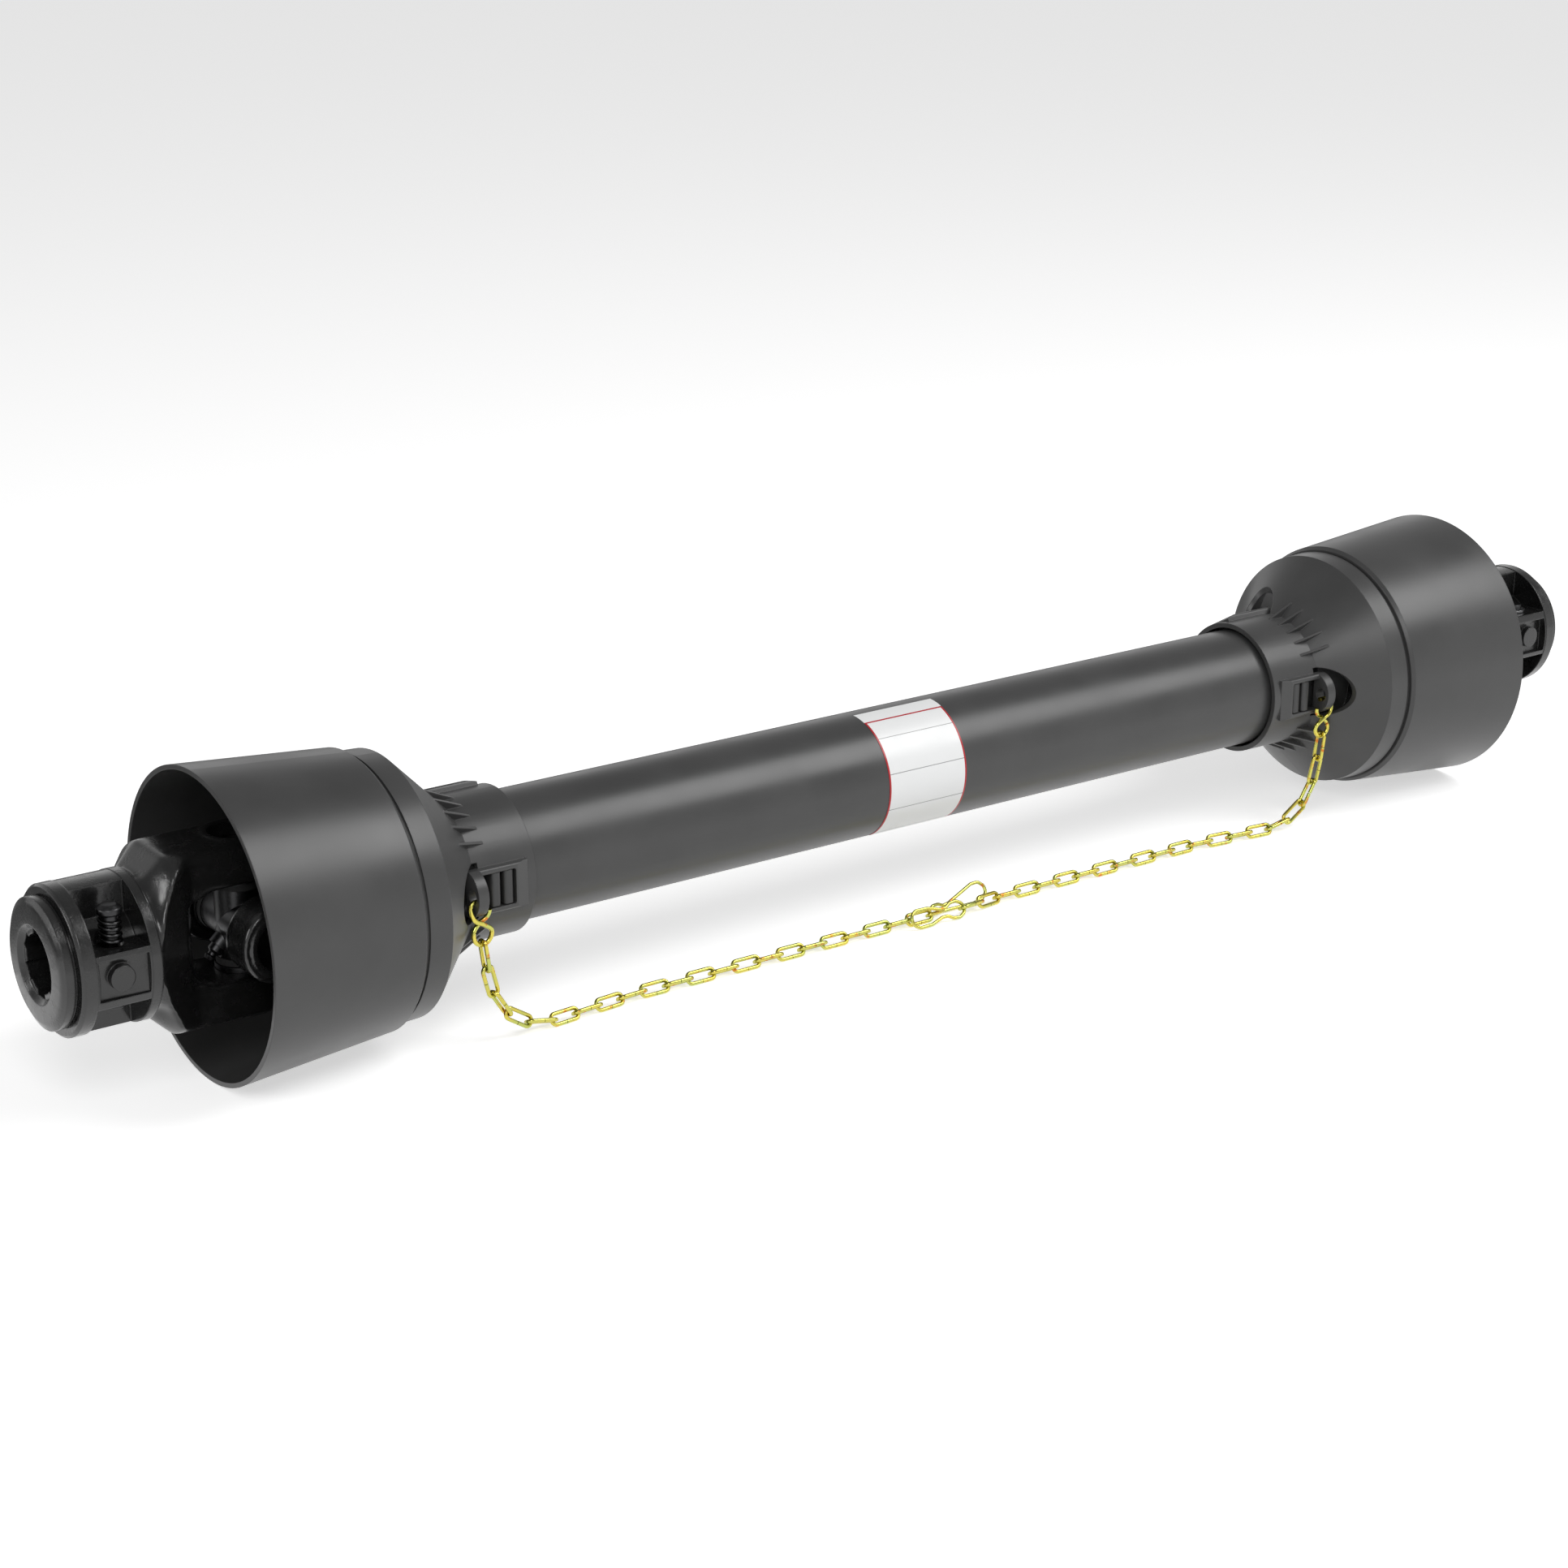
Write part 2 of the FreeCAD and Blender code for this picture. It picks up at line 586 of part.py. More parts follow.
def make_guard_tube(doc, label, end, radius, bore, finish):
    """Round guard tube with slots for the bearing ring's lugs."""
    body = new_body(doc, label)
    sketch = new_sketch(body, "YZ_Plane", "RoundSection", LATCH_START)
    circle(sketch, 0, 0, radius)
    circle(sketch, 0, 0, bore)
    pad(body, sketch, "Wall", finish - LATCH_START)
    slot = new_sketch(body, "XZ_Plane", "SlotOutline")
    outline(slot, [
        (WINDOW_END - s.lug_bar * 2 - s.lug_slit * 2, -s.window_half_width),
        (WINDOW_END, -s.window_half_width),
        (WINDOW_END, s.window_half_width),
        (WINDOW_END - s.lug_bar * 2 - s.lug_slit * 2, s.window_half_width),
    ])
    slot_cut = cut(body, slot, "Slot", s.mouth_radius, reverse=True)
    doc.recompute()
    repeat_round(body, [slot_cut], slot, "ThreeSlots", LATCH_COUNT)
    place(body, end, 0)


def lug_bar(body, start, sleeve, name):
    """One bar of a lug: it stands through the tube's slot and the window."""
    sketch = new_sketch(body, "XY_Plane", name + "Outline")
    finish = start + s.lug_bar
    foot = sleeve - 2.0
    outline(sketch, [
        (start, -foot),
        (start, -(s.lug_top - s.lug_rounding)),
        (start + s.lug_rounding, -s.lug_top),
        (finish - s.lug_rounding, -s.lug_top),
        (finish, -(s.lug_top - s.lug_rounding)),
        (finish, -foot),
    ], {1: s.lug_rounding, 3: s.lug_rounding})
    return pad(body, sketch, name, s.lug_half_width * 2, both=True)


def make_bearing_ring(doc, end, tube_bore):
    """Nylon ring that runs in the yoke's groove and carries tube and cone."""
    body = new_body(doc, "bearing_ring_" + end)
    groove_end = s.cross_inset + BEARING_GROOVE_END - s.bearing_gap
    groove_start = groove_end - s.bearing_groove_width + s.bearing_gap * 2
    lip = s.tube_hub_radius - s.bearing_groove_depth + s.bearing_gap
    hub_clear = s.tube_hub_radius + s.bearing_gap
    outside = COLLAR_BORE - s.bearing_seat_gap
    sleeve = tube_bore - s.sleeve_gap
    inside = sleeve - s.sleeve_wall
    hub_end = s.cross_inset + TUBE_HUB_END + 1.5
    sketch = new_sketch(body, "XZ_Plane", "RingProfile")
    outline(sketch, [
        (groove_start - s.bearing_lead, hub_clear),
        (groove_start - s.bearing_lead, outside),
        (LATCH_START - s.sleeve_gap, outside),
        (LATCH_START - s.sleeve_gap, sleeve),
        (WINDOW_END, sleeve),
        (WINDOW_END, inside),
        (hub_end, inside),
        (hub_end, hub_clear),
        (groove_end, hub_clear),
        (groove_end, lip),
        (groove_start, lip),
        (groove_start, hub_clear),
    ])
    revolve(body, sketch, "Ring")
    last = WINDOW_END - s.lug_slit / 2 - s.lug_bar
    bars = [lug_bar(body, last, sleeve, "RearBar")]
    bars.append(lug_bar(body, last - s.lug_slit - s.lug_bar, sleeve, "FrontBar"))
    doc.recompute()
    repeat_round(body, bars, sketch, "ThreeLugs", LATCH_COUNT)
    slit = new_sketch(body, "XZ_Plane", "SlitOutline")
    outline(slit, [
        (groove_start - s.bearing_lead * 2, -s.bearing_slit / 2),
        (WINDOW_END + s.bearing_lead, -s.bearing_slit / 2),
        (WINDOW_END + s.bearing_lead, s.bearing_slit / 2),
        (groove_start - s.bearing_lead * 2, s.bearing_slit / 2),
    ])
    cut(body, slit, "Slit", s.mouth_radius)
    place(body, end, 0)


def make_label(doc):
    """Blank label wrapped round the front of the outer guard tube."""
    body = new_body(doc, "tube_label")
    sketch = new_sketch(body, "XZ_Plane", "LabelSection")
    inner = s.guard_tube_radius + s.label_gap
    outer = inner + s.label_thickness
    outline(sketch, [
        (s.label_start, inner),
        (s.label_start + s.label_length, inner),
        (s.label_start + s.label_length, outer),
        (s.label_start, outer),
    ])
    revolve(body, sketch, "Sheet", angle=s.label_wrap)
    turn = FreeCAD.Rotation(FreeCAD.Vector(1, 0, 0), 90.0 - s.label_top.value)
    body.Placement = FreeCAD.Placement(FreeCAD.Vector(0, 0, 0), turn)


# Drive tubes.
# One lobe of each tube points up in the assembly, and the right end is built
# upside down, so its sections start from the opposite heading.

TUBE_HEADING = {"left": 90, "right": 270}


def make_drive_tube(doc, label, end, radius, finish):
    """Three-lobed tube; the smaller one slides in the larger one."""
    body = new_body(doc, label)
    start = s.cross_inset + s.tube_root
    sketch = new_sketch(body, "YZ_Plane", "LobeSection", start)
    heading = TUBE_HEADING[end]
    lobes(sketch, s.lobe_offset, radius, heading)
    lobes(sketch, s.lobe_offset, radius - s.drive_wall, heading)
    pad(body, sketch, "Wall", finish - start)
    hole = new_sketch(body, "XY_Plane", "PinHoleOutline")
    circle(hole, s.cross_inset + s.roll_pin_seat, 0, s.roll_pin_radius + s.cap_gap)
    cut(body, hole, "PinHole", both=True)
    place(body, end, 0)


# Forks, shared by both kinds of yoke.
# In a yoke's own frame the cross is at the origin, the hub lies along +X and
# the ears stand at +Z and -Z.

def fork_side(body, end_of_root, height, corner):
    """Side view of the fork, padded across its whole width."""
    sketch = new_sketch(body, "XZ_Plane", "ForkSide")
    back = end_of_root - s.flare_length
    low = EAR_INSIDE - corner
    bend = s.throat_depth - corner
    outline(sketch, [
        (end_of_root, height),
        (back, EAR_REACH),
        (-s.ear_radius, EAR_REACH),
        (-s.ear_radius, EAR_INSIDE),
        (bend, EAR_INSIDE),
        (s.throat_depth, low),
        (s.throat_depth, -low),
        (bend, -EAR_INSIDE),
        (-s.ear_radius, -EAR_INSIDE),
        (-s.ear_radius, -EAR_REACH),
        (back, -EAR_REACH),
        (end_of_root, -height),
    ], {4: -corner, 6: -corner})
    return pad(body, sketch, "Fork", FORK_ENVELOPE * 2, both=True)


def fork_plan(body, end_of_root, half_width):
    """Trims the fork to its plan: round ears that widen to the hub."""
    sketch = new_sketch(body, "XY_Plane", "ForkPlan")
    wide = FORK_ENVELOPE + 5.0
    front = -s.ear_radius - 5.0
    neck = s.ear_radius + 0.8
    outline(sketch, [
        (end_of_root, half_width),
        (s.throat_depth, neck),
        (0, s.ear_radius),
        (-s.ear_radius, 0),
        (0, -s.ear_radius),
        (s.throat_depth, -neck),
        (end_of_root, -half_width),
        (end_of_root, -wide),
        (front, -wide),
        (front, wide),
        (end_of_root, wide),
    ], {2: s.ear_radius, 3: s.ear_radius})
    return cut(body, sketch, "ForkTrim", both=True)


def fork_round_off(body, end_of_root, hub_radius):
    """Turned envelope that rounds the fork's outer edges and shoulder."""
    sketch = new_sketch(body, "XZ_Plane", "EnvelopeProfile")
    wide = FORK_ENVELOPE * 2
    front = -s.ear_radius - 5.0
    outline(sketch, [
        (front, FORK_ENVELOPE),
        (end_of_root - s.flare_length, FORK_ENVELOPE),
        (end_of_root, hub_radius),
        (end_of_root, wide),
        (front, wide),
    ])
    return turn_off(body, sketch, "Envelope")


def fork_relief(body):
    """Bevels both sides of the throat, where the other fork's ears swing in."""
    turn = math.radians(s.swing_angle.value)
    across = (s.ear_radius + s.swing_gap) * math.cos(turn)
    back = (s.ear_radius + s.swing_gap) * math.sin(turn)
    first = s.ear_radius * 0.75
    last = FORK_ENVELOPE + 3.0
    near = (across + first * math.sin(turn), first * math.cos(turn) - back)
    far = (across + last * math.sin(turn), last * math.cos(turn) - back)
    wide = FORK_ENVELOPE + 5.0
    for name, side in (("Left", 1), ("Right", -1)):
        sketch = new_sketch(body, "XY_Plane", name + "ReliefOutline")
        outline(sketch, [
            (near[0], near[1] * side),
            (far[0], far[1] * side),
            (far[0], wide * side),
            (near[0], wide * side),
        ])
        cut(body, sketch, name + "Relief", (s.ear_radius + s.swing_gap) * 2, both=True)


def ear_rings(body):
    """Low ring round the cap's bore on the outer face of each ear."""
    root_depth = 0.5
    for name, side in (("Upper", 1), ("Lower", -1)):
        sketch = new_sketch(body, "XY_Plane", name + "RingOutline", (EAR_REACH - root_depth) * side)
        circle(sketch, 0, 0, s.cap_radius + s.ear_ring_width)
        pad(body, sketch, name + "Ring", s.ear_ring_height + root_depth, reverse=side < 0)


def ear_bores(body):
    """Bore for the bearing caps and a circlip groove near each face."""
    bore = new_sketch(body, "XY_Plane", "CapBoreOutline")
    circle(bore, 0, 0, s.cap_radius)
    cut(body, bore, "CapBore", both=True)
    face = s.cross_span / 2
    width = s.clip_thickness + 0.1
    upper = new_sketch(body, "XY_Plane", "UpperGrooveOutline", face + width)
    circle(upper, 0, 0, s.cap_radius + s.clip_depth)
    cut(body, upper, "UpperGroove", width)
    lower = new_sketch(body, "XY_Plane", "LowerGrooveOutline", -face)
    circle(lower, 0, 0, s.cap_radius + s.clip_depth)
    cut(body, lower, "LowerGroove", width)


# Implement yoke with its splined bore

def hub_profile(body):
    """Nose, flange, pocket zone and rear ring of the implement yoke."""
    sketch = new_sketch(body, "XZ_Plane", "HubProfile")
    flange_start = SHANK_END
    flange_end = SHANK_END + s.flange_width
    ring_end = s.outer_root + s.rear_ring_width
    waist = s.outer_root_radius - 0.6
    bevel = s.edge_chamfer
    outline(sketch, [
        (HUB_FLOOR, 0),
        (HUB_FLOOR, s.outer_root_radius - s.throat_corner),
        (s.outer_root - 0.8, s.outer_root_radius - 1.2),
        (s.outer_root, s.outer_root_radius - 1.2),
        (s.outer_root + 0.8, s.outer_root_radius),
        (ring_end, s.outer_root_radius),
        (ring_end, waist),
        (flange_start, waist),
        (flange_start, s.flange_radius),
        (flange_end - bevel, s.flange_radius),
        (flange_end, s.flange_radius - bevel),
        (flange_end, s.nose_radius - bevel),
        (flange_end + bevel, s.nose_radius - bevel),
        (flange_end + bevel, s.nose_radius),
        (NOSE_END - s.nose_chamfer / 2, s.nose_radius),
        (NOSE_END, s.nose_radius - s.nose_chamfer),
        (NOSE_END, 0),
    ])
    revolve(body, sketch, "Hub")
    return sketch


def hub_pockets(body):
    """Upper pocket of the pin's head and lower pocket of its tail."""
    wide = FORK_ENVELOPE
    square = BORE_SHELL * BORE_SHELL
    corner = root(square - s.pocket_back * s.pocket_back)
    upper = new_sketch(body, "YZ_Plane", "UpperPocketOutline", SHANK_END)
    outline(upper, [
        (s.pocket_back, corner),
        (s.pocket_back, wide),
        (wide, wide),
        (wide, s.pocket_floor),
        (root(square - s.pocket_floor * s.pocket_floor), s.pocket_floor),
    ], {4: BORE_SHELL})
    cut(body, upper, "UpperPocket", s.pin_pocket_length)
    lower = new_sketch(body, "YZ_Plane", "LowerPocketOutline", SHANK_END)
    outline(lower, [
        (s.pocket_back, -corner),
        (root(square - s.pocket_roof * s.pocket_roof), -s.pocket_roof),
        (wide, -s.pocket_roof),
        (wide, -wide),
        (s.pocket_back, -wide),
    ], {0: BORE_SHELL})
    cut(body, lower, "LowerPocket", s.pin_pocket_length)


def hub_sunk_pad(body):
    """Sunk pad with a round boss between the two pockets."""
    sketch = new_sketch(body, "XZ_Plane", "PadOutline", -s.pad_depth_from_axis)
    inset = 1.0
    start = SHANK_END - s.pin_pocket_length + inset
    finish = SHANK_END - inset
    outline(sketch, [
        (start, -s.pad_bottom),
        (finish, -s.pad_bottom),
        (finish, s.pad_top),
        (start, s.pad_top),
    ])
    cut(body, sketch, "SunkPad", FORK_ENVELOPE)
    boss = new_sketch(body, "XZ_Plane", "BossOutline", -(s.pad_depth_from_axis - 1.0))
    middle = (s.pad_top - s.pad_bottom) / 2
    circle(boss, PIN_DEPTH + 1.2, middle, s.boss_radius)
    pad(body, boss, "Boss", s.boss_height + 1.0, reverse=True)


def hub_pin_hole(body):
    """Hole of the push pin, opened up in both pockets."""
    hole = new_sketch(body, "XY_Plane", "PinHoleOutline")
    circle(hole, PIN_DEPTH, s.pin_offset, s.pin_radius + s.pin_gap)
    cut(body, hole, "PinHole", both=True)
    room = s.pin_radius + s.pin_room
    upper = new_sketch(body, "XY_Plane", "UpperRoomOutline", FORK_ENVELOPE)
    circle(upper, PIN_DEPTH, s.pin_offset, room)
    cut(body, upper, "UpperRoom", FORK_ENVELOPE - s.pocket_floor)
    lower = new_sketch(body, "XY_Plane", "LowerRoomOutline", -s.pocket_roof)
    circle(lower, PIN_DEPTH, s.pin_offset, room)
    cut(body, lower, "LowerRoom", FORK_ENVELOPE - s.pocket_roof)


def hub_spline(body, doc):
    """Six-groove bore right through the hub, bevelled at its mouth."""
    bore = new_sketch(body, "YZ_Plane", "BoreOutline")
    circle(bore, 0, 0, s.spline_minor_radius)
    cut(body, bore, "Bore", both=True)
    slot = new_sketch(body, "YZ_Plane", "SplineOutline")
    half = s.spline_slot_width / 2
    top = root(s.spline_major_radius * s.spline_major_radius - half * half)
    outline(slot, [(-half, 0), (half, 0), (half, top), (-half, top)])
    groove = cut(body, slot, "SplineGroove", both=True)
    doc.recompute()
    repeat_round(body, [groove], slot, "SixGrooves", SPLINE_COUNT, "N_Axis")
    lead = new_sketch(body, "XZ_Plane", "LeadProfile")
    outline(lead, [
        (NOSE_END - s.spline_lead, 0),
        (NOSE_END - s.spline_lead, s.spline_major_radius),
        (NOSE_END, s.spline_major_radius + s.spline_lead),
        (NOSE_END, 0),
    ])
    turn_off(body, lead, "Lead")


def make_implement_yoke(doc, end):
    body = new_body(doc, "implement_yoke_" + end)
    fork_side(body, s.outer_root, s.outer_root_radius - 2.0, s.throat_corner)
    fork_plan(body, s.outer_root, s.outer_root_radius - 1.5)
    fork_round_off(body, s.outer_root, s.outer_root_radius + 0.5)
    hub_profile(body)
    fork_relief(body)
    doc.recompute()
    hub_pockets(body)
    hub_sunk_pad(body)
    hub_pin_hole(body)
    hub_spline(body, doc)
    ear_rings(body)
    ear_bores(body)
    turn = FreeCAD.Rotation(FreeCAD.Vector(0, 0, 1), 180)
    place(body, end, s.cross_inset, turn=turn)


# Tube yoke, pinned to a drive tube

def tube_hub_profile(body):
    sketch = new_sketch(body, "XZ_Plane", "TubeHubProfile")
    groove_start = BEARING_GROOVE_END - s.bearing_groove_width
    groove = s.tube_hub_radius - s.bearing_groove_depth
    bevel = s.edge_chamfer
    outline(sketch, [
        (HUB_FLOOR, 0),
        (HUB_FLOOR, s.tube_hub_radius - s.tube_throat_corner - 8.0),
        (s.tube_hub_root, s.tube_hub_radius),
        (groove_start, s.tube_hub_radius),
        (groove_start, groove),
        (BEARING_GROOVE_END, groove),
        (BEARING_GROOVE_END, s.tube_hub_radius),
        (TUBE_HUB_END - bevel, s.tube_hub_radius),
        (TUBE_HUB_END, s.tube_hub_radius - bevel),
        (TUBE_HUB_END, 0),
    ])
    revolve(body, sketch, "TubeHub")


def make_tube_yoke(doc, end, radius):
    body = new_body(doc, "tube_yoke_" + end)
    fork_side(body, s.tube_hub_root, s.tube_hub_radius - 2.0, s.tube_throat_corner)
    fork_plan(body, s.tube_hub_root, s.tube_hub_radius - 1.0)
    fork_round_off(body, s.tube_hub_root, s.tube_hub_radius + 0.5)
    tube_hub_profile(body)
    fork_relief(body)
    socket = new_sketch(body, "YZ_Plane", "SocketSection", TUBE_HUB_END)
    lobes(socket, s.lobe_offset, radius + s.socket_gap, TUBE_HEADING[end] - 90)
    cut(body, socket, "Socket", TUBE_HUB_END - s.tube_root + s.socket_gap)
    hole = new_sketch(body, "XZ_Plane", "PinHoleOutline")
    circle(hole, s.roll_pin_seat, 0, s.roll_pin_radius + s.cap_gap)
    cut(body, hole, "PinHole", both=True)
    ear_rings(body)
    ear_bores(body)
    turn = FreeCAD.Rotation(FreeCAD.Vector(1, 0, 0), 90)
    place(body, end, s.cross_inset, turn=turn)


def make_roll_pin(doc, end):
    """Slotted spring pin through the tube yoke and its tube."""
    body = new_body(doc, "roll_pin_" + end)
    sketch = new_sketch(body, "XY_Plane", "PinSection")
    circle(sketch, 0, 0, s.roll_pin_radius)
    circle(sketch, 0, 0, s.roll_pin_radius - s.roll_pin_wall)
    length = (s.tube_hub_radius - s.edge_chamfer) * 2
    pad(body, sketch, "Sleeve", length, both=True)
    slit = new_sketch(body, "XY_Plane", "SlitOutline")
    half = s.roll_pin_slit / 2
    outline(slit, [
        (0, -half),
        (s.roll_pin_radius * 2, -half),
        (s.roll_pin_radius * 2, half),
        (0, half),
    ])
    cut(body, slit, "Slit", length * 2, both=True)
    place(body, end, s.cross_inset + s.roll_pin_seat)


# Cross and its bearings

def cross_arm(body, plane, name):
    """One straight arm through the centre: two shoulders and two trunnions."""
    shoulder = new_sketch(body, plane, name + "ShoulderOutline")
    circle(shoulder, 0, 0, s.cross_hub_radius)
    pad(body, shoulder, name + "Shoulder", CROSS_HUB_REACH * 2, both=True)
    trunnion = new_sketch(body, plane, name + "TrunnionOutline")
    circle(trunnion, 0, 0, s.trunnion_radius)
    reach = s.cross_span / 2 - s.cap_floor - s.end_gap
    pad(body, trunnion, name + "Trunnion", reach * 2, both=True)


def make_cross(doc, end):
    body = new_body(doc, "cross_" + end)
    cross_arm(body, "XY_Plane", "Upright")
    cross_arm(body, "XZ_Plane", "Level")
    tilt = FreeCAD.Rotation(FreeCAD.Vector(0, 0, 1), 135)
    boss = new_sketch(body, "XZ_Plane", "NippleBossProfile", turn=tilt)
    outline(boss, [
        (0, 0),
        (s.nipple_boss_radius, 0),
        (s.nipple_boss_radius, NIPPLE_SEAT),
        (0, NIPPLE_SEAT),
    ])
    revolve(body, boss, "NippleBoss", "V_Axis")
    hole = new_sketch(body, "XZ_Plane", "NippleHoleProfile", turn=tilt)
    bore = s.nipple_shank_radius + s.cap_gap
    room = s.nipple_base_radius + 0.4
    bottom = NIPPLE_SEAT - s.nipple_shank - s.cap_gap
    outline(hole, [
        (0, bottom),
        (bore, bottom),
        (bore, NIPPLE_SEAT),
        (room, NIPPLE_SEAT),
        (room, NIPPLE_SEAT + s.nipple_shank),
        (0, NIPPLE_SEAT + s.nipple_shank),
    ])
    turn_off(body, hole, "NippleHole", "V_Axis")
    place(body, end, s.cross_inset)


def make_nipple(doc, end):
    """Grease nipple in the cross: it points out and down."""
    body = new_body(doc, "grease_nipple_" + end)
    sketch = new_sketch(body, "XZ_Plane", "NippleProfile")
    top = NIPPLE_SEAT + s.nipple_height
    outline(sketch, [
        (0, NIPPLE_SEAT - s.nipple_shank),
        (s.nipple_shank_radius, NIPPLE_SEAT - s.nipple_shank),
        (s.nipple_shank_radius, NIPPLE_SEAT),
        (s.nipple_base_radius, NIPPLE_SEAT),
        (s.nipple_base_radius, NIPPLE_SEAT + 3.0),
        (s.nipple_neck_radius, NIPPLE_SEAT + 4.2),
        (s.nipple_neck_radius, top - 2.6),
        (s.nipple_head_radius, top - 1.8),
        (s.nipple_neck_radius, top),
        (0, top),
    ])
    revolve(body, sketch, "Nipple", "V_Axis")
    turn = FreeCAD.Rotation(FreeCAD.Vector(0, 1, 0), -135)
    place(body, end, s.cross_inset, turn=turn)


CAP_TURNS = {
    "top": FreeCAD.Rotation(),
    "bottom": FreeCAD.Rotation(FreeCAD.Vector(1, 0, 0), 180),
    "front": FreeCAD.Rotation(FreeCAD.Vector(1, 0, 0), 90),
    "back": FreeCAD.Rotation(FreeCAD.Vector(1, 0, 0), -90),
}


def make_cap(doc, end, side):
    """Bearing cap: a cup over one arm of the cross."""
    body = new_body(doc, "bearing_cap_%s_%s" % (side, end))
    sketch = new_sketch(body, "XZ_Plane", "CapProfile")
    top = s.cross_span / 2
    outside = s.cap_radius - s.cap_gap
    inside = s.trunnion_radius + s.trunnion_gap
    outline(sketch, [
        (0, top - s.cap_floor),
        (inside, top - s.cap_floor),
        (inside, CAP_INSIDE),
        (outside, CAP_INSIDE),
        (outside, top - 0.9),
        (outside - 0.9, top),
        (0, top),
    ])
    revolve(body, sketch, "Cup", "V_Axis")
    place(body, end, s.cross_inset, turn=CAP_TURNS[side])


def ring_at(side, radius, bore, low, high):
    """Plain ring round one arm, between two distances from the centre."""
    outer = Part.makeCylinder(radius.value, high.value - low.value,
                              FreeCAD.Vector(0, 0, low.value))
    inner = Part.makeCylinder(bore.value, high.value - low.value,
                              FreeCAD.Vector(0, 0, low.value))
    ring = outer.cut(inner)
    ring.Placement = FreeCAD.Placement(FreeCAD.Vector(), CAP_TURNS[side])
    return ring


def make_seals(doc, end):
    """Four seals on the arms, between shoulder and cap."""
    low = CROSS_HUB_REACH
    high = CAP_INSIDE - s.end_gap
    rings = [ring_at(side, s.seal_radius, s.trunnion_radius, low, high) for side in CAP_TURNS]
    group = doc.addObject("Part::Feature", "cross_seals_" + end)
    group.Label = "cross_seals_" + end
    group.Shape = Part.makeCompound(rings)
    place(group, end, s.cross_inset)


def make_circlips(doc, end, name, sides):
    """Two open circlips that hold a pair of caps in their ears."""
    low = s.cross_span / 2 + 0.05
    high = low + s.clip_thickness
    outside = s.cap_radius + s.clip_depth - 0.05
    clips = []
    for side in sides:
        ring = ring_at(side, outside, outside - s.clip_width, low, high)
        gap = Part.makeBox(s.cap_radius.value * 2, s.clip_opening.value, high.value * 2)
        gap.translate(FreeCAD.Vector(0, -s.clip_opening.value / 2, 0))
        gap.Placement = FreeCAD.Placement(FreeCAD.Vector(), CAP_TURNS[side]).multiply(gap.Placement)
        clips.append(ring.cut(gap))
    group = doc.addObject("Part::Feature", name + "_" + end)
    group.Label = name + "_" + end
    group.Shape = Part.makeCompound(clips)
    place(group, end, s.cross_inset)


# Push pin, its clip and its spring

def make_push_pin(doc, end):
    """Quick-release pin: its full part bars the bore, its waist clears it."""
    body = new_body(doc, "push_pin_" + end)
    sketch = new_sketch(body, "XZ_Plane", "PinProfile")
    under = s.button_top - s.button_height
    clip_top = -s.pocket_roof - s.end_gap
    clip_bottom = clip_top - s.pin_clip_thickness - 0.1
    groove = s.tail_radius - s.tail_groove
    outline(sketch, [
        (0, -s.pin_tail),
        (s.tail_radius, -s.pin_tail),
        (s.tail_radius, clip_bottom),
        (groove, clip_bottom),
        (groove, clip_top),
        (s.tail_radius, clip_top),
        (s.pin_radius, clip_top + 2.0),
        (s.pin_radius, 3.6),
        (s.pin_waist_radius, 5.0),
        (s.pin_waist_radius, s.pocket_floor + 1.0),
        (s.pin_stem_radius, s.pocket_floor + 2.0),
        (s.pin_stem_radius, under),
        (s.pin_radius, under),
        (s.pin_radius, s.button_top - 2.0),
        (s.pin_radius * 0.6, s.button_top - 0.3),
        (0, s.button_top),
    ])
    revolve(body, sketch, "Pin", "V_Axis")
    place(body, end, s.cross_inset - PIN_DEPTH, -s.pin_offset)


def make_pin_clip(doc, end):
    body = new_body(doc, "pin_clip_" + end)
    top = -s.pocket_roof - s.end_gap - 0.05
    sketch = new_sketch(body, "XY_Plane", "ClipOutline", top - s.pin_clip_thickness)
    circle(sketch, 0, 0, s.pin_clip_radius)
    circle(sketch, 0, 0, s.tail_radius - s.tail_groove + 0.05)
    pad(body, sketch, "Clip", s.pin_clip_thickness)
    mouth = new_sketch(body, "XY_Plane", "MouthOutline", top)
    half = s.tail_radius - s.tail_groove - 0.6
    outline(mouth, [
        (0, -half),
        (s.pin_clip_radius * 2, -half),
        (s.pin_clip_radius * 2, half),
        (0, half),
    ])
    cut(body, mouth, "Mouth", s.pin_clip_thickness)
    place(body, end, s.cross_inset - PIN_DEPTH, -s.pin_offset)


def unit(vector):
    return vector / vector.Length


def slide_onto(point, direction, base, normal):
    """Moves a point along a direction until it lies on a plane."""
    return point + direction * ((base - point).dot(normal) / direction.dot(normal))


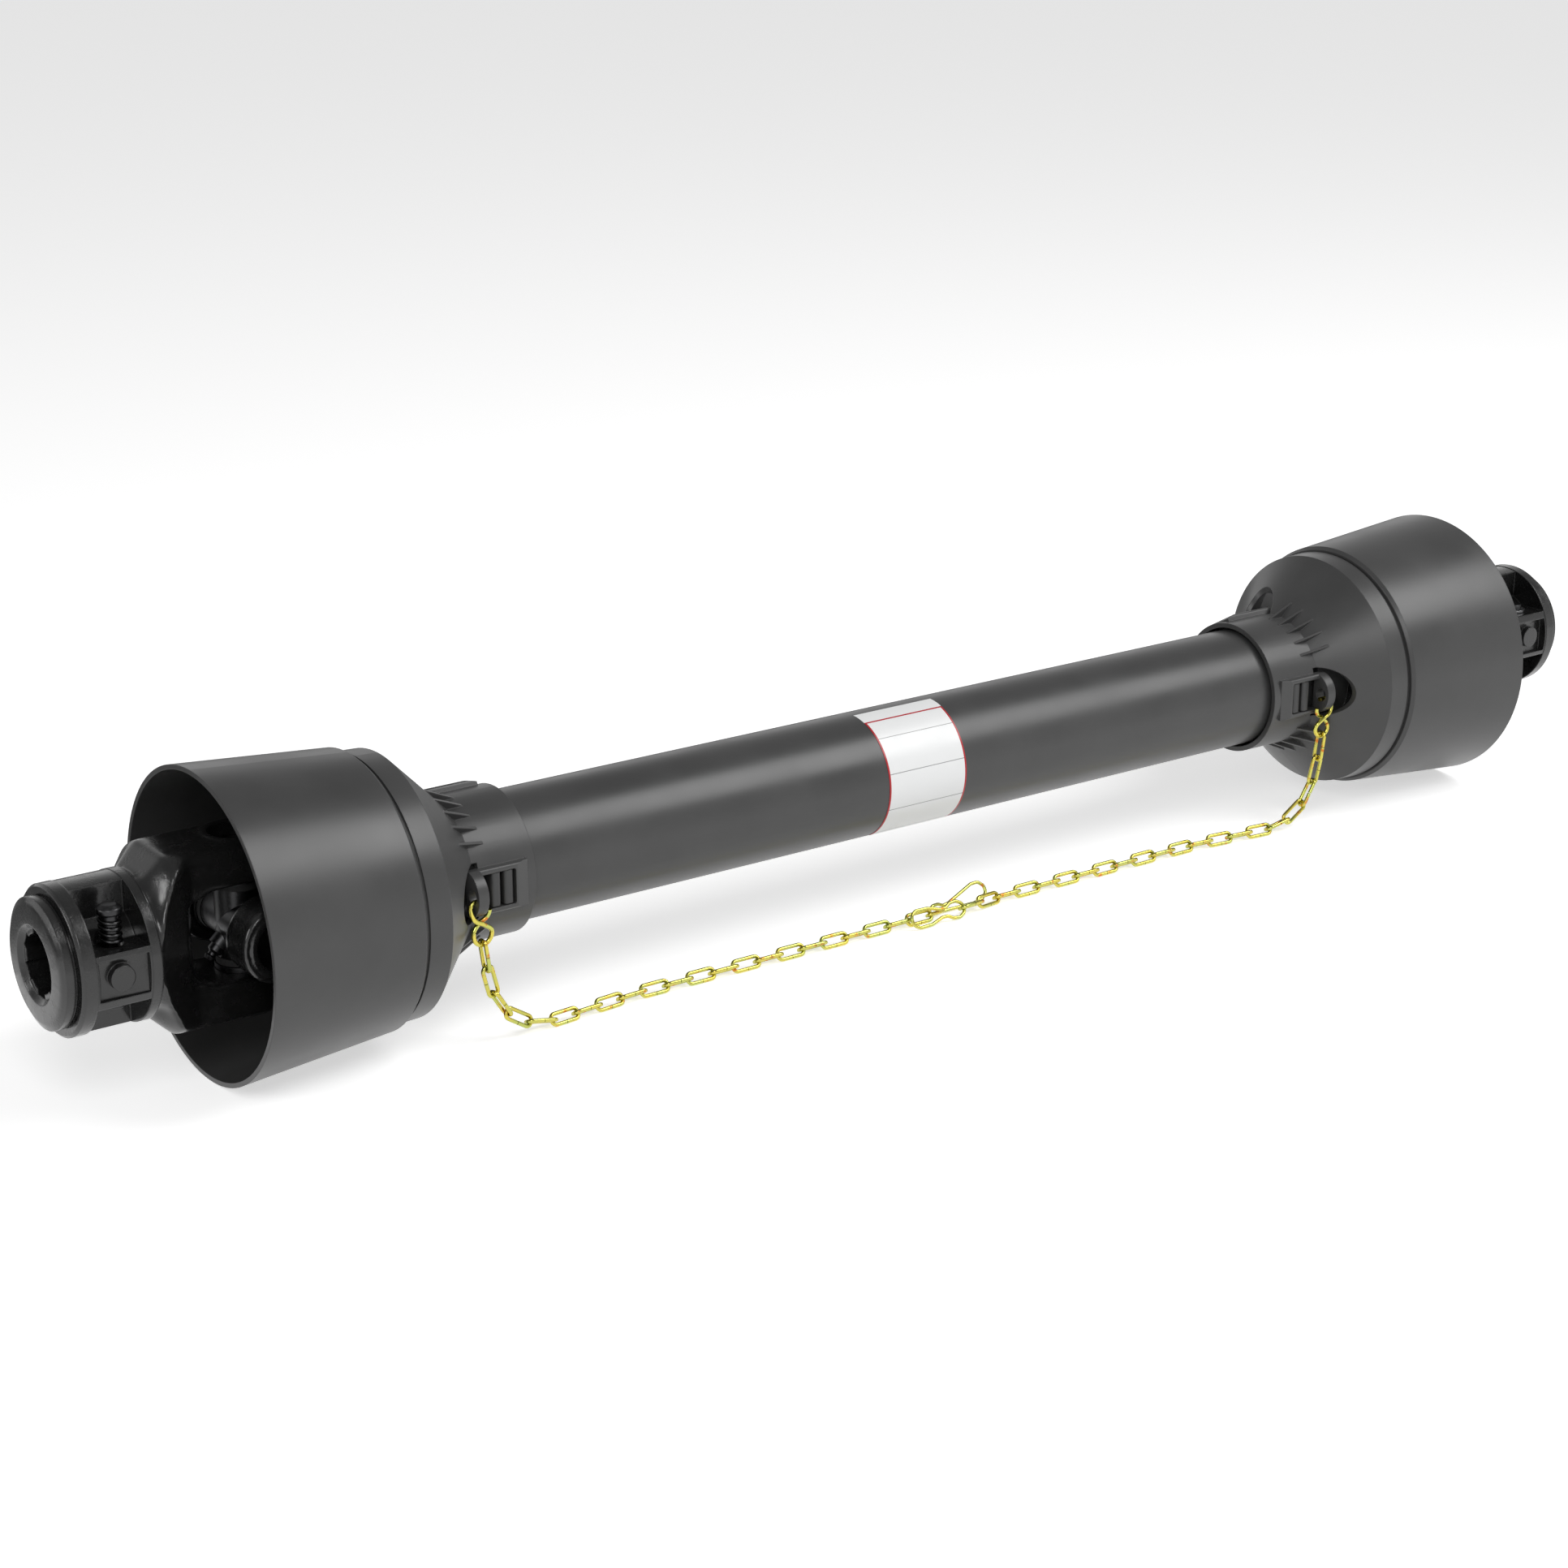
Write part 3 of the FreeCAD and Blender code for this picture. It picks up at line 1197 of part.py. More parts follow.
def bent_wire(points, radius, sides, closed=False):
    """Wire of straight runs, mitred at each bend; a closed one is flat."""
    count = len(points)
    runs = count if closed else count - 1
    headings = [unit(points[(i + 1) % count] - points[i]) for i in range(runs)]
    side = headings[0].cross(FreeCAD.Vector(0.31, 0.43, 0.85))
    side = unit(side)
    other = headings[0].cross(side)
    ring = []
    for index in range(sides):
        angle = 2 * math.pi * (index + 0.5) / sides
        spoke = side * math.cos(angle) + other * math.sin(angle)
        ring.append(points[0] + spoke * radius)
    start_normal = headings[0] + headings[-1] if closed else headings[0]
    ring = [slide_onto(point, headings[0], points[0], start_normal) for point in ring]
    rings = [ring]
    for index in range(1, runs + (0 if closed else 1)):
        before = headings[index - 1]
        after = headings[index] if index < runs else before
        base = points[index]
        ring = [slide_onto(point, before, base, before + after) for point in ring]
        rings.append(ring)
    if closed:
        rings.append(rings[0])
    faces = []
    for first, second in zip(rings, rings[1:]):
        for index in range(sides):
            following = (index + 1) % sides
            corners = [first[index], first[following], second[following], second[index]]
            faces.append(Part.Face(Part.makePolygon(corners + [corners[0]])))
    if not closed:
        for ring in (rings[0], rings[-1]):
            faces.append(Part.Face(Part.makePolygon(ring + [ring[0]])))
    solid = Part.Solid(Part.Shell(faces))
    if solid.Volume < 0:
        solid.reverse()
    return solid


def make_spring(doc, end):
    """Coil spring between the pocket's floor and the pin's head."""
    wire = s.spring_wire_radius.value
    radius = (s.pin_stem_radius.value + s.pin_radius.value + s.pin_room.value) / 2
    radius = min(radius, s.pin_stem_radius.value + wire + 0.5)
    low = s.pocket_floor.value + wire + 0.05
    high = s.button_top.value - s.button_height.value - wire - 0.05
    steps_per_turn = 10
    steps = int(steps_per_turn * s.spring_turns.value)
    points = []
    for step in range(steps + 1):
        angle = 2 * math.pi * step / steps_per_turn
        height = low + (high - low) * step / steps
        points.append(FreeCAD.Vector(radius * math.cos(angle), radius * math.sin(angle), height))
    spring = doc.addObject("Part::Feature", "pin_spring_" + end)
    spring.Label = "pin_spring_" + end
    spring.Shape = bent_wire(points, wire, 5)
    place(spring, end, s.cross_inset - PIN_DEPTH, -s.pin_offset)


# Chain, chain hooks and snap hooks.
# They hang from the eyes, so both ends keep the same way up and are mirrored
# in X instead of turned.

def eye_position(sign):
    """Centre of the chain hook's upper loop at one end."""
    x = sign * (HALF.value - LATCH_START.value - s.eye_thickness.value / 2)
    y = -(EYE_HOLE_OUT.value + 0.6)
    return FreeCAD.Vector(x, y, 0)


def hook_route(sign):
    """The chain hook: through the eye, crossed, then a round lower loop."""
    wire = s.hook_wire_radius.value
    beside = s.eye_thickness.value / 2 + wire + s.hook_gap.value
    top = -s.eye_hole_radius.value + wire + s.hook_gap.value
    edge = -s.latch_half_width.value
    cross = edge - wire - 0.9
    loop = s.hook_loop_radius.value
    low = cross - s.hook_loop_height.value
    shift = 1.5
    step = wire + 0.15
    flat = [
        (beside + 0.6, top, 0.0),
        (-beside + 0.4, top, 0.0),
        (-beside - 0.6, top - 3.0, -0.3),
        (-beside - 0.1, edge + 0.6, -step),
        (shift - 0.3, cross, -step),
        (shift + loop * 0.8, cross - 3.4, -0.8),
        (shift + loop, cross - 6.6, 0.0),
        (shift + loop * 0.6, low + 1.4, 0.0),
        (shift, low, 0.0),
        (shift - loop * 0.6, low + 1.4, 0.0),
        (shift - loop, cross - 6.6, 0.0),
        (shift - loop * 0.75, cross - 3.2, 0.8),
        (shift - 0.6, cross + 0.2, step),
        (beside + 1.6, edge + 0.5, 0.8),
        (beside + 1.5, edge + 4.4, 0.2),
    ]
    eye = eye_position(sign)
    return [eye + FreeCAD.Vector(-sign * x, y, z) for x, z, y in flat]


def hook_bottom(sign):
    """Point of the lower loop that the first link hangs on."""
    return hook_route(sign)[8]


def make_chain_hook(doc, end, sign):
    hook = doc.addObject("Part::Feature", "chain_hook_" + end)
    hook.Label = "chain_hook_" + end
    hook.Shape = bent_wire(hook_route(sign), s.hook_wire_radius.value, WIRE_SIDES)


def link_outline():
    """Centre line of one link in its own XY plane, with eight sides."""
    half = s.link_inside_width.value / 2 + s.chain_wire_radius.value
    reach = s.link_inside_length.value / 2 + s.chain_wire_radius.value
    corner = half * math.tan(math.radians(22.5))
    bend = reach - half + corner
    return [
        FreeCAD.Vector(bend, -half, 0),
        FreeCAD.Vector(reach, -corner, 0),
        FreeCAD.Vector(reach, corner, 0),
        FreeCAD.Vector(bend, half, 0),
        FreeCAD.Vector(-bend, half, 0),
        FreeCAD.Vector(-reach, corner, 0),
        FreeCAD.Vector(-reach, -corner, 0),
        FreeCAD.Vector(-bend, -half, 0),
    ]


def chain_reach():
    """Half of a link's overall width."""
    return s.link_inside_width.value / 2 + s.chain_wire_radius.value * 2


def floor_height():
    """Height of the lying chain's centre line."""
    lean = math.radians(s.chain_lean.value)
    half = s.link_inside_width.value / 2 + s.chain_wire_radius.value
    lift = half * math.cos(lean) + s.chain_wire_radius.value
    return -s.mouth_radius.value + s.floor_gap.value + lift


def lying_axes():
    """Up and out directions of the lying, leaning chain."""
    lean = math.radians(s.chain_lean.value)
    upwards = FreeCAD.Vector(0, math.sin(lean), math.cos(lean))
    outwards = FreeCAD.Vector(0, -math.cos(lean), math.sin(lean))
    return upwards, outwards


def hanging_joints(sign):
    """Joints from the chain hook down to the floor, in a sagging curve."""
    pitch = s.link_inside_length.value - s.link_gap.value
    floor = floor_height()
    joint = hook_bottom(sign)
    joint = joint + FreeCAD.Vector(0, 0, s.hook_wire_radius.value + s.link_gap.value / 2)
    top = joint.z
    joints = [joint]
    while joint.z > floor + 0.01:
        left = joint.z - floor
        fallen = 1.0 - left / (top - floor)
        angle = math.radians(8 + 78 * fallen * fallen)
        drop = pitch * math.cos(angle)
        if drop > left or left < pitch * 0.5:
            drop = left
        forward = math.sqrt(pitch * pitch - drop * drop)
        joint = joint + FreeCAD.Vector(-sign * forward, 0, -drop)
        joints.append(joint)
    return joints


def chain_joints(sign, finish, rise, odd):
    """All joints of one chain; its last two links rise to the snap hook."""
    pitch = s.link_inside_length.value - s.link_gap.value
    joints = hanging_joints(sign)
    steps = int(round(abs(joints[-1].x - finish) / pitch))
    if (len(joints) - 1 + steps) % 2 != (1 if odd else 0):
        steps -= 1
    inset = -s.chain_inset.value
    for step in range(steps):
        joint = joints[-1]
        sideways = max(min(inset - joint.y, 1.4), -1.4)
        upwards = 0.0
        if step >= steps - 2:
            sideways = rise.y / 2
            upwards = rise.z / 2
        forward = math.sqrt(pitch * pitch - sideways * sideways - upwards * upwards)
        joints.append(joint + FreeCAD.Vector(-sign * forward, sideways, upwards))
    return joints


def link_width(number, along, sign):
    """Direction of a link's width: a quarter turn from link to link."""
    level = FreeCAD.Vector(0, 1, 0)
    level = unit(level - along * level.dot(along))
    standing = along.cross(level) * -sign
    roll = math.radians(-s.chain_lean.value * min(number / 5.0, 1.0) + 90 * (number % 2))
    return level * math.cos(roll) + standing * math.sin(roll)


def make_chain(doc, end, sign, joints):
    """Chain of separate links, each turned a quarter from the one before."""
    flat = link_outline()
    links = []
    for number, (first, second) in enumerate(zip(joints, joints[1:])):
        along = unit(second - first)
        width = link_width(number, along, sign)
        centre = (first + second) * 0.5
        points = [centre + along * point.x + width * point.y for point in flat]
        links.append(bent_wire(points, s.chain_wire_radius.value, WIRE_SIDES, True))
    chain = doc.addObject("Part::Feature", "chain_" + end)
    chain.Label = "chain_" + end
    chain.Shape = Part.makeCompound(links)


FRONT_SNAP = [
    (-18.5, 0.0), (-17.4, 3.3), (-14.0, 5.0), (-6.0, 4.8), (2.0, 2.4), (6.0, 2.4),
    (9.5, 4.4), (14.0, 4.8), (17.2, 3.0), (18.5, 1.2), (18.5, -1.2), (17.2, -3.0),
    (14.0, -4.8), (9.5, -4.4), (6.0, -2.4), (2.0, -2.4), (-6.0, -4.8), (-14.0, -5.0),
    (-17.4, -3.3),
]


def front_snap_rise():
    """From the lying chain's centre line to the front snap hook's own."""
    wire = s.snap_wire_radius.value
    upwards, outwards = lying_axes()
    lowest = min(v for u, v in FRONT_SNAP)
    height = -s.mouth_radius.value + s.floor_gap.value + wire - lowest * upwards.z
    away = chain_reach() + s.snap_gap.value + wire
    rise = height - floor_height()
    return FreeCAD.Vector(0, (outwards.z * rise - away) / -outwards.y, rise)


def make_front_snap(doc, joint):
    """Closed snap hook on the right chain, lying in front of the left one."""
    wire = s.snap_wire_radius.value
    upwards, outwards = lying_axes()
    ring_end = max(u for u, v in FRONT_SNAP)
    centre = joint + FreeCAD.Vector(wire + s.link_gap.value / 2 - ring_end, 0, 0)
    points = [centre + FreeCAD.Vector(u, 0, 0) + upwards * v for u, v in FRONT_SNAP]
    hook = doc.addObject("Part::Feature", "snap_hook_right")
    hook.Label = "snap_hook_right"
    hook.Shape = bent_wire(points, wire, WIRE_SIDES, True)


def make_rear_snap(doc, joint):
    """Open snap hook on the left chain: a small eye, then the big hook behind.

    Each point is given as length, height in the leaning plane, and distance
    towards the front."""
    wire = s.snap_wire_radius.value
    eye = wire + s.link_gap.value / 2
    side = s.chain_wire_radius.value + wire + 0.5
    behind = -(chain_reach() + s.snap_gap.value + wire)
    route = [
        (9.0, 0.4, 1.6), (6.0, 0.0, side), (1.6, 0.0, side), (-eye + 0.5, 0.0, side - 0.8),
        (-eye, 0.0, 0.9), (-eye, 0.0, -0.9), (-eye + 0.5, 0.0, 0.8 - side),
        (1.6, 0.0, -side), (7.0, 0.2, -side - 0.8), (13.0, 0.7, behind),
        (36.0, 0.7, behind), (42.5, 1.6, behind), (46.5, 5.0, behind),
        (46.4, 9.0, behind), (43.0, 11.8, behind), (38.0, 11.6, behind),
        (19.0, 4.4, behind), (15.0, 3.8, behind), (11.5, 5.2, behind + 0.4),
        (7.0, 5.0, behind + 1.2), (4.5, 3.2, behind + 1.6),
    ]
    upwards, outwards = lying_axes()
    points = []
    for length, height, front in route:
        offset = upwards * height + outwards * front
        points.append(joint + FreeCAD.Vector(length, 0, 0) + offset)
    hook = doc.addObject("Part::Feature", "snap_hook_left")
    hook.Label = "snap_hook_left"
    hook.Shape = bent_wire(points, wire, WIRE_SIDES)


def make_end(doc, end, sign):
    """Every piece that both ends have."""
    make_guard_cone(doc, end)
    make_implement_yoke(doc, end)
    make_cross(doc, end)
    make_nipple(doc, end)
    make_seals(doc, end)
    for side in CAP_TURNS:
        make_cap(doc, end, side)
    make_circlips(doc, end, "circlips_implement", ("top", "bottom"))
    make_circlips(doc, end, "circlips_tube", ("front", "back"))
    make_roll_pin(doc, end)
    make_push_pin(doc, end)
    make_pin_clip(doc, end)
    make_spring(doc, end)
    make_chain_hook(doc, end, sign)


def make_all(doc):
    make_sheet(doc)
    inner_lobe = s.lobe_radius - s.drive_wall - s.drive_slide_gap
    free_end = WINDOW_END + s.guard_end_gap
    make_end(doc, "left", -1)
    make_end(doc, "right", 1)
    make_tube_yoke(doc, "left", s.lobe_radius)
    make_tube_yoke(doc, "right", inner_lobe)
    make_bearing_ring(doc, "left", GUARD_BORE)
    make_bearing_ring(doc, "right", INNER_GUARD_BORE)
    outer_end = s.guard_length - free_end
    make_guard_tube(doc, "guard_tube_outer", "left",
                    s.guard_tube_radius, GUARD_BORE, outer_end)
    make_guard_tube(doc, "guard_tube_inner", "right",
                    INNER_GUARD_RADIUS, INNER_GUARD_BORE, outer_end - s.guard_end_gap)
    make_drive_tube(doc, "drive_tube_outer", "left", s.lobe_radius, outer_end - s.guard_end_gap)
    make_drive_tube(doc, "drive_tube_inner", "right", inner_lobe,
                    s.guard_length - s.cross_inset - s.roll_pin_seat - s.roll_pin_radius * 2)
    make_label(doc)
    level = FreeCAD.Vector(0, 0, 0)
    left_joints = chain_joints(-1, s.left_chain_end.value, level, False)
    right_joints = chain_joints(1, s.right_chain_end.value, front_snap_rise(), True)
    make_chain(doc, "left", -1, left_joints)
    make_chain(doc, "right", 1, right_joints)
    make_rear_snap(doc, left_joints[-1])
    make_front_snap(doc, right_joints[-1])


def sub_parts(doc):
    kinds = ("PartDesign::Body", "Part::Feature")
    return [item for item in doc.Objects if item.TypeId in kinds]


def check(doc):
    """Stops if any object failed or any sub-part has no sound shape."""
    faults = []
    for item in doc.Objects:
        if "Invalid" in item.State or "Error" in item.State:
            faults.append("%s is %s" % (item.Name, item.State))
        if item.TypeId == "Sketcher::SketchObject" and item.solve() != 0:
            faults.append("%s isn't solved" % item.Name)
    for item in sub_parts(doc):
        shape = item.Shape
        if shape.isNull() or not shape.isValid() or not shape.Solids:
            faults.append("%s has no valid solid" % item.Label)
    if faults:
        raise RuntimeError("; ".join(faults))


def write(doc):
    os.makedirs("parts", exist_ok=True)
    for item in sub_parts(doc):
        item.Shape.exportStep("parts/%s.step" % item.Label)


document = FreeCAD.newDocument("DriveShaft")
make_all(document)
document.recompute()
check(document)
write(document)
for piece in sub_parts(document):
    print("%-28s %2d solid(s) %10.1f mm3" % (piece.Label, len(piece.Shape.Solids), piece.Shape.Volume))
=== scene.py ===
"""PTO drive shaft: finishes, forged yokes, chains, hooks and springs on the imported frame."""

import json
import math

import bmesh
import bpy
from mathutils import Matrix, Vector


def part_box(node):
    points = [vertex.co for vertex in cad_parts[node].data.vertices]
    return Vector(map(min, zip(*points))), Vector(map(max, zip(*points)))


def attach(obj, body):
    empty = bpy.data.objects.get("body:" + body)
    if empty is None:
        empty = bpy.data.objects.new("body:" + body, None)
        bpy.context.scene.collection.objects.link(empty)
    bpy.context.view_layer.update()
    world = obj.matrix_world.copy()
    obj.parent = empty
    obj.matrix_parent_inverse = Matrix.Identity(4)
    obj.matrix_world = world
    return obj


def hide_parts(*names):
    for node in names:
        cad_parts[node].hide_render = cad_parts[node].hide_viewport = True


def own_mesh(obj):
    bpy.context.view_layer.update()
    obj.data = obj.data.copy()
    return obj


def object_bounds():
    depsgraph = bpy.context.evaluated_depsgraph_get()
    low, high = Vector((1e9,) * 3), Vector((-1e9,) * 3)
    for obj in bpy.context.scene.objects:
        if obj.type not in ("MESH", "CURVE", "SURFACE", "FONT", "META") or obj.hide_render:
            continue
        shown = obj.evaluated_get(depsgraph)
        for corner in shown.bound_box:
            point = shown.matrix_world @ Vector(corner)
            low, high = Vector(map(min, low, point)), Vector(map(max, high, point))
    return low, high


bl_info = {
    "name": "PTO Drive Shaft",
    "version": (1, 0, 0),
    "blender": (4, 5, 0),
    "location": "View3D > Sidebar > Drive Shaft",
    "description": "Finishes, forged yokes, chains, springs and stage of a guarded drive shaft",
    "category": "Object",
}

MM = 0.001
SAME_POINT = 0.002 * MM  # corners nearer than this are one
ENDS = {"left": -1, "right": 1}
# A colour Mix node has more than one socket called A or B, so its own go by number.
SHARE, FIRST, SECOND = 0, 6, 7

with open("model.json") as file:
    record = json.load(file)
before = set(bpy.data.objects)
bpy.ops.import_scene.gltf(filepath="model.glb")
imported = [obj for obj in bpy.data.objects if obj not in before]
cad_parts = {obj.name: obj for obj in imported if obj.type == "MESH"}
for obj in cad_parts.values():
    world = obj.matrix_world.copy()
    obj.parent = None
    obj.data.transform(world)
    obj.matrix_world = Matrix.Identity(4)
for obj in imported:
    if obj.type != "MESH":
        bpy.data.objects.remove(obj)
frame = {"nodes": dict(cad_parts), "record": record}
nodes = frame["nodes"]
cad_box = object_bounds()
home = {node: body for body, members in frame["record"]["behaviour"]["bodies"].items()
        for node in members}
cross_at = {end: sum(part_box("cross_" + end), Vector()) / 2 for end in ENDS}
floor_level = cad_box[0][2]


# Colours, nodes and meshes

def linear(code):
    """An sRGB hex colour as linear red, green and blue."""
    parts = [int(code[i:i + 2], 16) / 255 for i in (1, 3, 5)]
    return [p / 12.92 if p <= 0.04045 else ((p + 0.055) / 1.055) ** 2.4 for p in parts]


def add(tree, kind, sockets=None, **settings):
    """Adds a node. sockets holds a value for an input, or the output that feeds it, or
    the node whose first output in use feeds it."""
    node = tree.nodes.new(kind)
    for name, value in settings.items():
        setattr(node, name, value)
    for key, value in (sockets or {}).items():
        if isinstance(value, bpy.types.Node):
            value = next(output for output in value.outputs if output.enabled)
        if isinstance(value, bpy.types.NodeSocket):
            tree.links.new(value, node.inputs[key])
        else:
            node.inputs[key].default_value = value
    return node


def opaque(colour):
    return (*colour, 1.0)


def tinted(colour, times):
    """A colour made paler or darker."""
    return opaque(min(c * times, 1) for c in colour)


def scale_for(size_mm):
    """Scale of a noise whose blotches measure about size_mm."""
    return 1 / (size_mm * MM)


def start_material(name):
    """A material, its empty tree, and the place on the object that its patterns follow."""
    material = bpy.data.materials.new(name)
    material.use_nodes = True
    tree = material.node_tree
    tree.nodes.clear()
    return material, tree, add(tree, "ShaderNodeTexCoord").outputs["Object"]


def close_material(material, tree, shader):
    add(tree, "ShaderNodeOutputMaterial", {"Surface": shader})
    return material


def coat(mesh, material):
    """Gives a mesh one material and no other."""
    mesh.materials.clear()
    mesh.materials.append(material)


def dress(material, *names):
    """Puts a material on CAD nodes."""
    for name in names:
        coat(nodes[name].data, material)


def both(name):
    return [name + "_" + end for end in ENDS]


def merged_copy(node):
    """A CAD node's mesh as one connected surface."""
    surface = bmesh.new()
    surface.from_mesh(nodes[node].data)
    bmesh.ops.remove_doubles(surface, verts=surface.verts, dist=SAME_POINT)
    mesh = bpy.data.meshes.new(node + "_copy")
    surface.to_mesh(mesh)
    surface.free()
    kept_normals = mesh.attributes.get("custom_normal")
    if kept_normals:
        mesh.attributes.remove(kept_normals)
    return mesh


def new_piece(name, mesh):
    piece = bpy.data.objects.new(name, mesh)
    bpy.context.scene.collection.objects.link(piece)
    return piece


def baked(piece):
    """Turns a piece with modifiers into a plain mesh."""
    graph = bpy.context.evaluated_depsgraph_get()
    mesh = bpy.data.meshes.new_from_object(piece.evaluated_get(graph))
    piece.modifiers.clear()
    piece.data = mesh
    return piece


def facing_out(mesh):
    """Turns the faces of a closed mesh outwards, if they point inwards."""
    surface = bmesh.new()
    surface.from_mesh(mesh)
    if surface.calc_volume(signed=True) < 0:
        bmesh.ops.reverse_faces(surface, faces=surface.faces)
        surface.to_mesh(mesh)
    surface.free()


def seat(piece, node):
    """The piece stands for a CAD node, on that node's body."""
    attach(piece, home[node])
    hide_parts(node)


# Finishes

def moulded_polyethylene(name, colour, roughness):
    """Black polyethylene, injection moulded: satin, with a fine grain from the mould
    and a slow drift of gloss. Edges are softened, as the mould leaves them."""
    material, tree, place = start_material(name)
    grain = add(tree, "ShaderNodeTexNoise", {
        "Vector": place, "Scale": scale_for(0.7), "Detail": 2})
    cloud = add(tree, "ShaderNodeTexNoise", {
        "Vector": place, "Scale": scale_for(45), "Detail": 3})
    drift = add(tree, "ShaderNodeMapRange", {
        "Value": cloud, "From Min": 0.35, "From Max": 0.7})
    tone = add(tree, "ShaderNodeMix", {
        SHARE: drift, FIRST: opaque(colour), SECOND: tinted(colour, 1.22)}, data_type="RGBA")
    gloss = add(tree, "ShaderNodeMapRange", {
        "Value": cloud, "From Min": 0.3, "From Max": 0.75,
        "To Min": roughness - 0.04, "To Max": roughness + 0.06})
    soft_edge = add(tree, "ShaderNodeBevel", {"Radius": 0.7 * MM}, samples=4)
    bump = add(tree, "ShaderNodeBump", {
        "Height": grain, "Strength": 0.12, "Distance": 0.15 * MM, "Normal": soft_edge})
    shader = add(tree, "ShaderNodeBsdfPrincipled", {
        "Base Color": tone, "IOR": 1.5, "Roughness": gloss, "Normal": bump})
    return close_material(material, tree, shader)


def enamelled_forging(name, colour, roughness, pebble_mm):
    """Black enamel sprayed thick over a forging: wet gloss over the pebbled skin of the
    steel, which shows in patches, and a painted highlight that makes the pebbles' high spots a
    little paler."""
    material, tree, place = start_material(name)
    pebble = add(tree, "ShaderNodeTexNoise", {
        "Vector": place, "Scale": scale_for(pebble_mm), "Detail": 3})
    wave = add(tree, "ShaderNodeTexNoise", {
        "Vector": place, "Scale": scale_for(pebble_mm * 5), "Detail": 2})
    # Painted highlight: the high spots of the pebble noise are painted up to half again paler, as
    # glints.
    painted_pebble_glint = add(tree, "ShaderNodeMapRange", {
        "Value": pebble, "From Min": 0.45, "From Max": 0.8})
    tone = add(tree, "ShaderNodeMix", {
        SHARE: painted_pebble_glint, FIRST: opaque(colour), SECOND: tinted(colour, 1.5)}, data_type="RGBA")
    gloss = add(tree, "ShaderNodeMapRange", {
        "Value": wave, "From Min": 0.3, "From Max": 0.7,
        "To Min": roughness - 0.05, "To Max": roughness + 0.08})
    level = add(tree, "ShaderNodeMapRange", {"Value": pebble, "To Min": -0.5, "To Max": 0.5})
    patch = add(tree, "ShaderNodeMapRange", {
        "Value": wave, "From Min": 0.4, "From Max": 0.6})
    height = add(tree, "ShaderNodeMath", {0: level, 1: patch}, operation="MULTIPLY")
    soft_edge = add(tree, "ShaderNodeBevel", {"Radius": 1.2 * MM}, samples=8)
    bump = add(tree, "ShaderNodeBump", {
        "Height": height, "Strength": 0.6, "Distance": 0.3 * MM, "Normal": soft_edge})
    shader = add(tree, "ShaderNodeBsdfPrincipled", {
        "Base Color": tone, "IOR": 1.5, "Roughness": gloss, "Normal": bump,
        "Coat Weight": 0.25, "Coat Roughness": 0.12})
    return close_material(material, tree, shader)


def passivated_zinc(name, base, green, red, roughness):
    """Bright zinc plate with a yellow chromate film: greenish yellow, with orange to
    red patches where the film is thicker, mostly in the bends."""
    material, tree, place = start_material(name)
    film = add(tree, "ShaderNodeTexNoise", {
        "Vector": place, "Scale": scale_for(9), "Detail": 3})
    patch = add(tree, "ShaderNodeTexNoise", {
        "Vector": place, "Scale": scale_for(5), "Detail": 2})
    thin = add(tree, "ShaderNodeMapRange", {"Value": film, "From Min": 0.4, "From Max": 0.62})
    thick = add(tree, "ShaderNodeMapRange", {"Value": patch, "From Min": 0.6, "From Max": 0.7})
    tone = add(tree, "ShaderNodeMix", {
        SHARE: thin, FIRST: opaque(base), SECOND: opaque(green)}, data_type="RGBA")
    tone = add(tree, "ShaderNodeMix", {
        SHARE: thick, FIRST: tone, SECOND: opaque(red)}, data_type="RGBA")
    gloss = add(tree, "ShaderNodeMapRange", {
        "Value": patch, "From Min": 0.3, "From Max": 0.7,
        "To Min": roughness - 0.06, "To Max": roughness + 0.1})
    dimple = add(tree, "ShaderNodeTexNoise", {
        "Vector": place, "Scale": scale_for(0.8), "Detail": 2})
    bump = add(tree, "ShaderNodeBump", {
        "Height": dimple, "Strength": 0.15, "Distance": 0.1 * MM})
    shader = add(tree, "ShaderNodeBsdfPrincipled", {
        "Base Color": tone, "Metallic": 1.0, "Roughness": gloss, "Normal": bump})
    return close_material(material, tree, shader)


def plain_steel(name, colour, roughness, mark_mm):
    """Steel as the lathe, the press or the drawing bench leaves it: a fine uneven
    sheen with marks of about mark_mm, and softened edges."""
    material, tree, place = start_material(name)
    marks = add(tree, "ShaderNodeTexNoise", {
        "Vector": place, "Scale": scale_for(mark_mm), "Detail": 4})
    worn = add(tree, "ShaderNodeMapRange", {"Value": marks, "From Min": 0.3, "From Max": 0.7})
    tone = add(tree, "ShaderNodeMix", {
        SHARE: worn, FIRST: tinted(colour, 0.72), SECOND: opaque(colour)}, data_type="RGBA")
    gloss = add(tree, "ShaderNodeMapRange", {
        "Value": marks, "From Min": 0.3, "From Max": 0.7,
        "To Min": roughness - 0.08, "To Max": roughness + 0.08})
    soft_edge = add(tree, "ShaderNodeBevel", {"Radius": 0.3 * MM}, samples=4)
    bump = add(tree, "ShaderNodeBump", {
        "Height": marks, "Strength": 0.1, "Distance": 0.05 * MM, "Normal": soft_edge})
    shader = add(tree, "ShaderNodeBsdfPrincipled", {
        "Base Color": tone, "Metallic": 1.0, "Roughness": gloss, "Normal": bump})
    return close_material(material, tree, shader)


